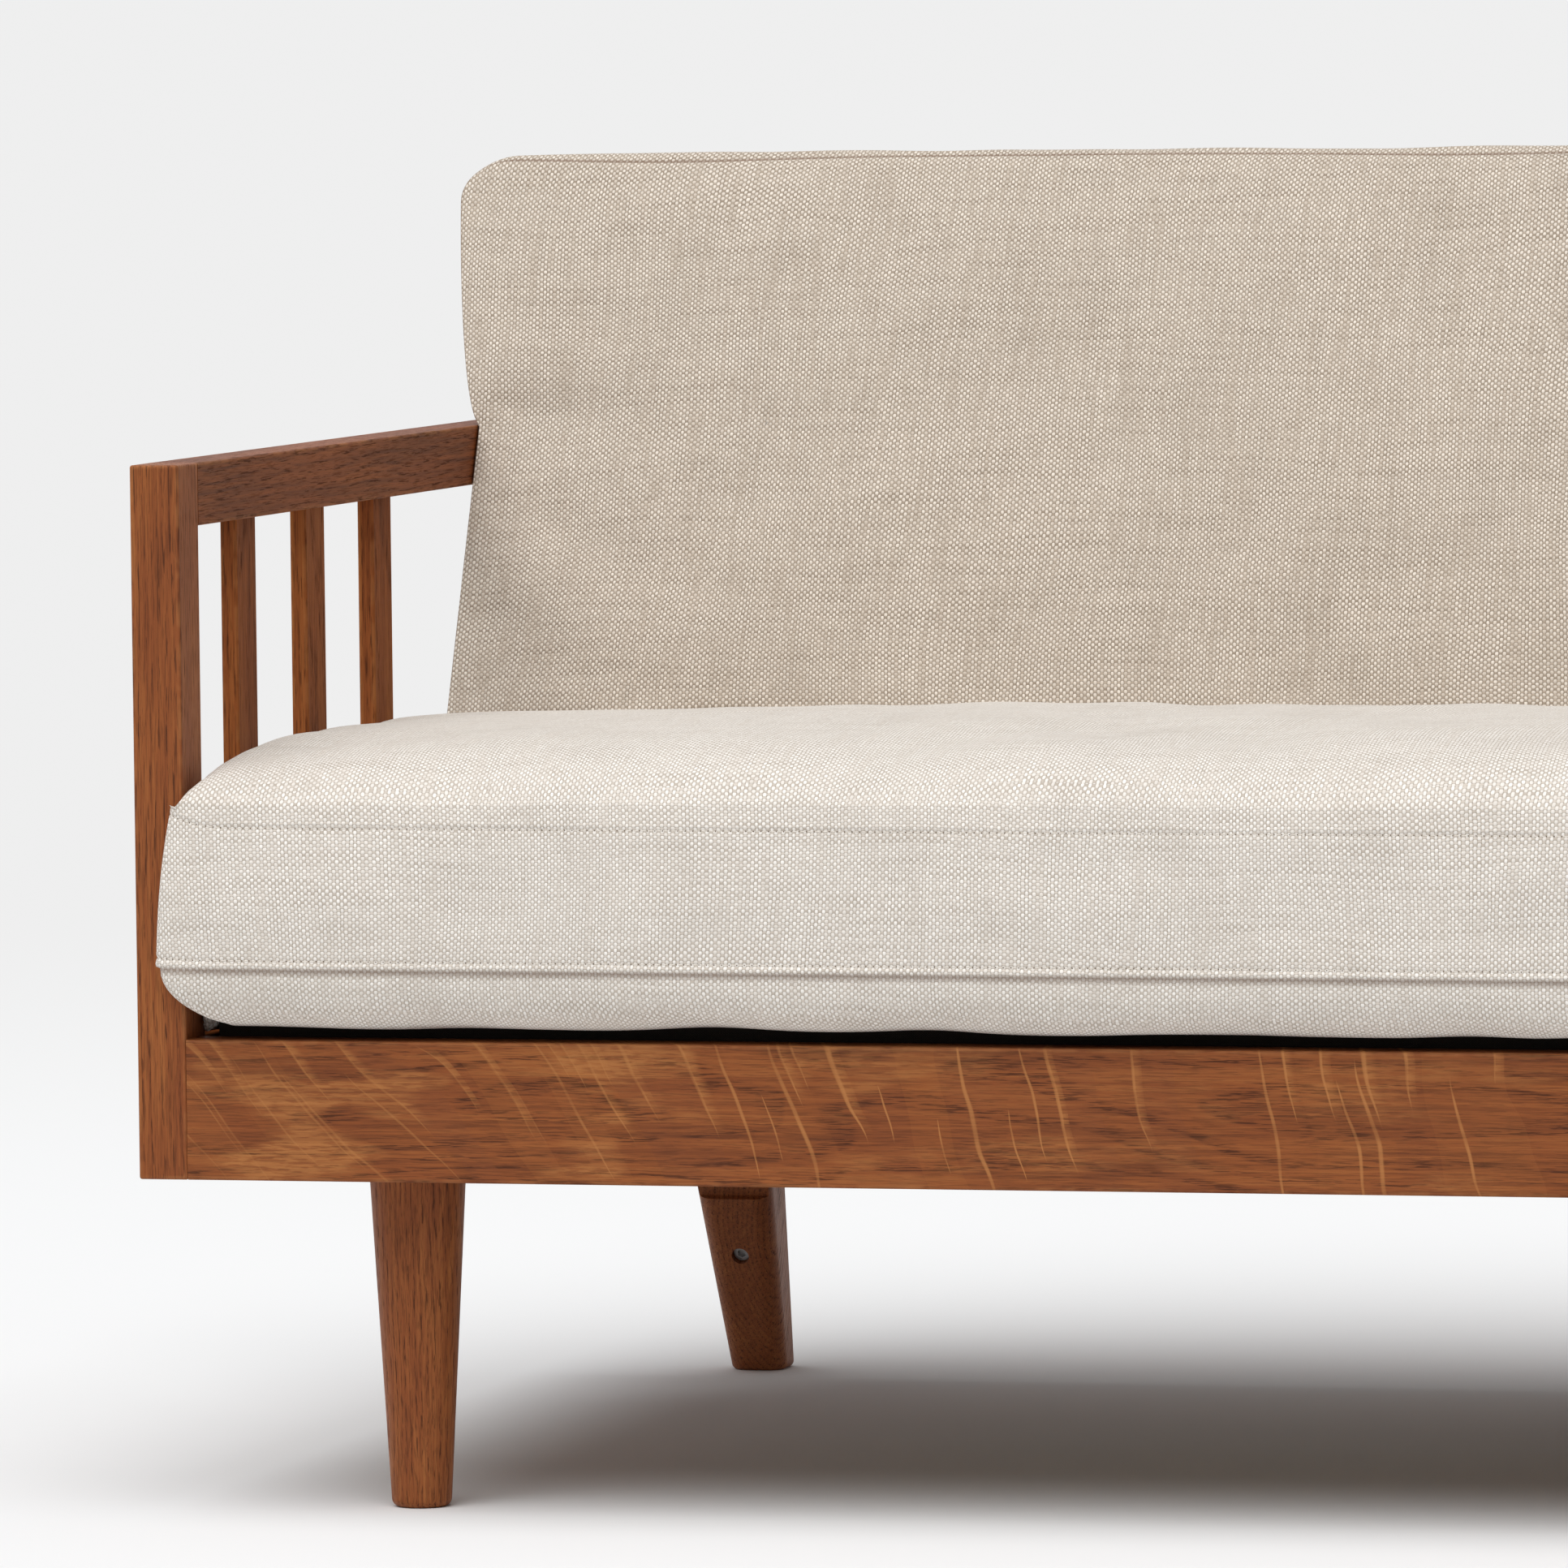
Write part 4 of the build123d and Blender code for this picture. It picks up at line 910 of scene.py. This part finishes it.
def backNet():
    b = backPillow
    base, up, outward, low, high = backFrame()
    half = armInside - b["softGap"]
    sideShares = np.linspace(0, 1, 96)
    layout = (b["longSteps"], sideShares, b["cornerSteps"])
    rows, marks = [], []

    def addRow(x, s, d, mark=0.0, push=b["sidePush"]):
        # x across, s up the slope, d off the slope; above the arms the cushion spreads over them
        z = deckTop + s * up.z + d * outward.z
        over = np.clip((z - armTop - 0.0006) / b["spreadRun"], 0, 1)
        widened = 1 + b["spread"] / half * (1 - (1 - over) ** 1.15) ** 0.62
        atEnd = np.clip(1 - (half - b["edgeInset"] - np.abs(x)) / b["pushRun"], 0, 1)
        pushed = np.minimum(np.abs(x) + push * atEnd, half)
        rows.append(np.stack([np.sign(x) * pushed * widened, base.y + s * up.y + d * outward.y, z], -1))
        marks.append(mark)

    def loop(inset, drop=0.0):
        corners = [max(b[name] - inset, 0.0004) for name in ("lowCorner", "topCorner")]
        return netLoop(half - inset, low + inset - drop, high - inset, corners, *layout)

    def dipped(x, s):
        return s - hills(x, b["seamDips"]) * np.clip((s - high + 0.07) / 0.05, 0, 1)

    spine = (high - low) / 2
    for inset in np.concatenate([np.linspace(spine, 0.05, 12), np.linspace(0.044, b["underRun"], 3)]):
        x, s = loop(inset)
        addRow(x, s, np.full_like(x, b["rest"]))
    for angle in np.linspace(0, math.pi / 2, 10)[1:]:
        x, s = loop(b["underRun"] * (1 - math.sin(angle)) + b["edgeInset"])
        off = b["backSeam"] - (b["backSeam"] - b["rest"]) * math.cos(angle)
        # The row at the rear seam is painted dark as seam shade
        addRow(x, s, np.full_like(x, off), 1.0 if angle > 1.5 else 0.0)
    pinned = [len(rows) - 1]
    # The boxing puffs up between its two seams, most along the top
    edge = [0.0003, 0.0009, 0.0018, 0.0030, 0.0046, 0.0068, 0.0098]
    tall = b["thickness"] - b["backSeam"]
    middle = np.linspace(0.014, tall - 0.014, 22)
    for rise in np.array(edge + list(middle) + [tall - e for e in edge[::-1]]):
        fromSeam = min(rise, tall - rise)
        x, s = loop(b["edgeInset"])
        puff = (1 - math.exp(-fromSeam / b["puffRun"])) * (0.75 + 0.25 * math.sin(math.pi * rise / tall))
        atTop = np.clip((s - high + 0.03) / 0.025, 0, 1)
        atSide = np.clip((np.abs(x) - half + 0.03) / 0.02, 0, 1)
        swell = b["topBelly"] * (0.35 + 0.65 * np.clip((half - np.abs(x)) / 0.09, 0, 1))
        swell = swell + hills(x, b["topSwells"])
        drawnIn = (b["frontInset"] + hills(x, b["seamDips"])) * math.exp(-(tall - rise) / b["puffRun"])
        s = s + atTop * (swell * puff - drawnIn)
        x = x + np.sign(x) * atSide * b["sideBelly"] * puff * (1 - 0.35 * atTop)
        # The boxing's last row at the front seam is painted dark as seam shade
        addRow(x, s, np.full_like(x, b["backSeam"] + rise), 0.75 if tall - rise < 0.0005 else 0.0)
    edgeInset = b["edgeInset"] + b["frontInset"]
    x, s = loop(edgeInset, b["lowDrop"])
    # The front seam row is painted dark as seam shade
    addRow(x, dipped(x, s), np.full_like(x, b["thickness"]), 1.0, b["endPush"])
    pinned.append(len(rows) - 1)
    edge = [0.0004, 0.0010, 0.0018, 0.0030, 0.0048, 0.0076]
    panel = [*np.linspace(0.012, 0.062, 14), *np.linspace(0.07, spine - 0.008, 22)]
    for fromEdge in np.array(edge + panel):
        x, s = loop(fromEdge + edgeInset, b["lowDrop"] * max(0.0, 1 - fromEdge / b["dropRun"]))
        level = fillOut(half - np.abs(x) - 0.004, b["crownRun"]) * np.minimum(
            fillOut(high - 0.008 - s, 0.19), fillOut(s - low + 0.09, 0.28))
        off = b["thickness"] + b["roll"] * (1 - math.exp(-fromEdge / 0.003)) + b["crown"] * level
        # The panel's first row beside the front seam is painted dark as seam shade
        addRow(x, dipped(x, s), off, 0.75 if fromEdge < 0.0005 else 0.0, b["endPush"])
    return np.array(rows), np.array(marks), pinned, layout


# Creases that run in from the ends: height on the slope, depth, half width, fall per length, and length.
# On the right they stand a little higher than on the left.
endPulls = (
    (0.371, 0.0026, 0.018, 0.15, 0.12), (0.311, 0.0036, 0.015, 0.10, 0.13),
    (0.250, 0.0046, 0.019, 0.40, 0.15), (0.182, 0.0034, 0.021, 0.60, 0.13),
    (0.122, 0.0022, 0.017, -0.10, 0.11),
)


def settleBack(grid, frontSeam):
    # Broad swells over the whole front, pulls near the ends, a waving top seam.
    b = backPillow
    base, up, outward = backFrame()[:3]
    front = np.clip((np.arange(len(grid)) - frontSeam) / 10, 0, 1)[:, None]
    inwards = armInside - np.abs(grid[..., 0])
    swell = softNoise(grid, (5.0, 5.0, 6.0), 1.3) * b["uneven"]
    atEnd = np.clip(1 - inwards / b["endRun"], 0, 1)
    swell += softNoise(grid, (9.0, 9.0, 13.0), 6.1) * b["endUneven"] * atEnd
    slope = (grid - np.array(base)) @ np.array(up)
    inwards = np.maximum(inwards, 0)
    shift = b["shift"] * np.sign(grid[..., 0])
    for height, depth, wide, fall, length in endPulls:
        crease = np.exp(-((slope - height - shift + fall * inwards) / wide) ** 2)
        swell = swell - depth * crease * np.exp(-(inwards / length) ** 2) * np.clip(inwards / 0.012, 0.25, 1)
    grid = grid + (swell * front)[..., None] * np.array(outward)
    atTop = np.clip((grid[..., 2] - cadBox[1].z + 0.06) / 0.03, 0, 1)
    grid[..., 2] += softNoise(grid, (6.0, 2.0, 2.0), 9.9) * b["topWave"] * atTop
    return grid


def makeBackCushion():
    grid, marks, pinned, layout = backNet()
    grid = wrinkled(grid, pinned, np.where(np.arange(len(grid)) > pinned[-1], 0.9, 0.45), layout)
    grid = settleBack(grid, pinned[-1])
    piece = netPiece("back_cushion_cover", grid, marks)
    piece.data.materials.append(backLinen)
    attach(piece, "back_cushion")
    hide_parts("back_cushion")


# Topstitching, in metres: the step from stitch to stitch, the thread's length and radius, and the radius of the
# dark disc painted as a needle hole's shade
stitching = {"pitch": 0.0044, "length": 0.0032, "radius": 0.00034, "sides": 6, "hole": 0.00046}


def alongLine(walked, line, distance):
    return Vector([np.interp(distance, walked, line[:, axis]) for axis in range(3)])


def makeStitches(grid, stitchRows):
    # Threads that lie along the two topstitched lines, and dark discs between them painted as the shade in the
    # needle holes.
    t = stitching
    thread, hole = bmesh.new(), bmesh.new()
    for row in stitchRows.values():
        line = grid[row]
        outwards = np.cross(np.roll(line, -1, 0) - line, grid[row + 1] - grid[row - 1])
        outwards /= np.maximum(np.linalg.norm(outwards, axis=1, keepdims=True), 1e-12)
        steps = np.linalg.norm(np.roll(line, -1, 0) - line, axis=1)
        walked = np.concatenate([[0], np.cumsum(steps)])
        closed = np.vstack([line, line[:1]])
        facing = np.vstack([outwards, outwards[:1]])
        for k in range(int(walked[-1] / t["pitch"])):
            start = k * t["pitch"]
            ends = [start + shift for shift in (0, t["length"], (t["pitch"] + t["length"]) / 2)]
            first, last, gap = (alongLine(walked, closed, end) for end in ends)
            normal = alongLine(walked, facing, start).normalized()
            addCapsule(thread, first, last, normal, t["radius"])
            addCapsule(hole, gap - (last - first) * 0.1, gap + (last - first) * 0.1, normal, t["hole"])
    finishStitches("seat_topstitch", thread, seatThread)
    finishStitches("seat_needle_hole_shade", hole, needleShade)


def addCapsule(work, first, last, normal, radius):
    # A short rounded thread, or a dark disc of painted needle-hole shade, sunk by half its radius.
    along = (last - first).normalized()
    side = along.cross(normal)
    length = (last - first).length
    rings = []
    for share, size in ((0.0, 0.35), (0.12, 0.85), (0.5, 1.0), (0.88, 0.85), (1.0, 0.35)):
        centre = first + along * length * share + normal * radius * (0.4 * size - 0.35)
        ring = []
        for i in range(stitching["sides"]):
            angle = 2 * math.pi * i / stitching["sides"]
            outwards = side * math.cos(angle) + normal * math.sin(angle)
            ring.append(work.verts.new(centre + outwards * radius * size))
        rings.append(ring)
    for near, far in zip(rings, rings[1:]):
        for i in range(len(near)):
            j = (i + 1) % len(near)
            work.faces.new((near[i], near[j], far[j], far[i]))
    work.faces.new(rings[0][::-1])
    work.faces.new(rings[-1])


def finishStitches(name, work, material):
    piece = finishMesh(name, work, bpy.data.meshes.new(name))
    piece.data.materials.append(material)
    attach(piece, "seat_cushion")


def makeThread(name, light, dark):
    material, tree, shader = newMaterial(name, roughness=0.85, specular=0.2)
    twist = cloud(tree, objectPlace(tree), (1400, 900, 2600), 1.0)
    feed(tree, shader.inputs["Base Color"], mixed(tree, ease(tree, twist, 0.35, 0.65), dark, light))
    bumped(tree, shader, twist, 0.4, 0.0002)
    return material


seatThread = makeThread("seat_thread", (0.86, 0.81, 0.75), (0.72, 0.66, 0.58))
# Dark discs painted as the shade in the needle holes
needleShade = makeThread("needle_shade", (0.26, 0.20, 0.15), (0.16, 0.12, 0.085))
seatGrid, stitchRows = makeSeatCushion()
print("seat cushion made")
makeStitches(seatGrid, stitchRows)
print("seat topstitching sewn")
makeBackCushion()
print("back cushion made")

# Studio: a pale floor that meets the background, one broad soft key and an even fill
studio = {
    "floor": (0.873, 0.879, 0.885), "farFloor": (0.787, 0.787, 0.787), "farFrom": 1.2, "farTo": 5.0,
    "reach": 400.0, "key": 2.70, "keySpread": 64.0, "keyFrom": (-0.10, -0.47, 1.0), "fill": 0.32,
    "background": 0.86,
}


def makeFloor():
    reach = studio["reach"]
    mesh = bpy.data.meshes.new("floor")
    mesh.from_pydata([(-reach, -reach, 0), (reach, -reach, 0), (reach, reach, 0), (-reach, reach, 0)], [],
                     [(0, 1, 2, 3)])
    floor = bpy.data.objects.new("floor", mesh)
    bpy.context.scene.collection.objects.link(floor)
    material, tree, shader = newMaterial("pale_floor", roughness=0.9, specular=0.0)
    away = addNode(tree, "ShaderNodeVectorMath", operation="LENGTH")
    feed(tree, away.inputs[0], objectPlace(tree))
    far = ease(tree, away.outputs["Value"], studio["farFrom"], studio["farTo"])
    feed(tree, shader.inputs["Base Color"], mixed(tree, far, studio["floor"], studio["farFloor"]))
    mesh.materials.append(material)


def makeLight():
    sun = bpy.data.lights.new("key", "SUN")
    sun.energy = studio["key"]
    sun.angle = math.radians(studio["keySpread"])
    lamp = bpy.data.objects.new("key", sun)
    lamp.rotation_mode = "QUATERNION"
    lamp.rotation_quaternion = Vector(studio["keyFrom"]).to_track_quat("Z", "Y")
    bpy.context.scene.collection.objects.link(lamp)
    world = bpy.data.worlds.new("studio")
    bpy.context.scene.world = world
    world.use_nodes = True
    tree = world.node_tree
    background = tree.nodes["Background"]
    path = addNode(tree, "ShaderNodeLightPath").outputs
    seen = maths(tree, "MAXIMUM", path["Is Camera Ray"], maths(
        tree, "MAXIMUM", path["Is Glossy Ray"], path["Is Transmission Ray"]))
    background.inputs["Color"].default_value = (1, 1, 1, 1)
    level = maths(tree, "MULTIPLY_ADD", seen, studio["background"] - studio["fill"], studio["fill"])
    feed(tree, background.inputs["Strength"], level)


# The photo's viewing angle; the long lens flattens the sofa
photoCamera = {
    "place": (1.38210, -7.73123, 0.89157), "yaw": 14.9186, "pitch": 3.5593, "roll": -0.65196,
    "sensor": 36.0, "lens": 310.240,
}


def makeCamera():
    yaw, pitch, roll = (math.radians(photoCamera[name]) for name in ("yaw", "pitch", "roll"))
    right = Vector((math.cos(yaw), math.sin(yaw), 0))
    forward = Vector((-math.sin(yaw) * math.cos(pitch), math.cos(yaw) * math.cos(pitch), -math.sin(pitch)))
    up = right.cross(forward)
    turnedRight = math.cos(roll) * right + math.sin(roll) * up
    turnedUp = -math.sin(roll) * right + math.cos(roll) * up
    lens = bpy.data.cameras.new("photo")
    lens.sensor_width = photoCamera["sensor"]
    lens.lens = photoCamera["lens"]
    lens.clip_end = 2000
    camera = bpy.data.objects.new("photo", lens)
    camera.matrix_world = Matrix.Translation(photoCamera["place"]) @ Matrix(
        (turnedRight, turnedUp, -forward)).transposed().to_4x4()
    bpy.context.scene.collection.objects.link(camera)
    bpy.context.scene.camera = camera


makeFloor()
makeLight()
makeCamera()
bpy.context.scene.view_settings.view_transform = "Standard"
print("floor, light and camera ready")
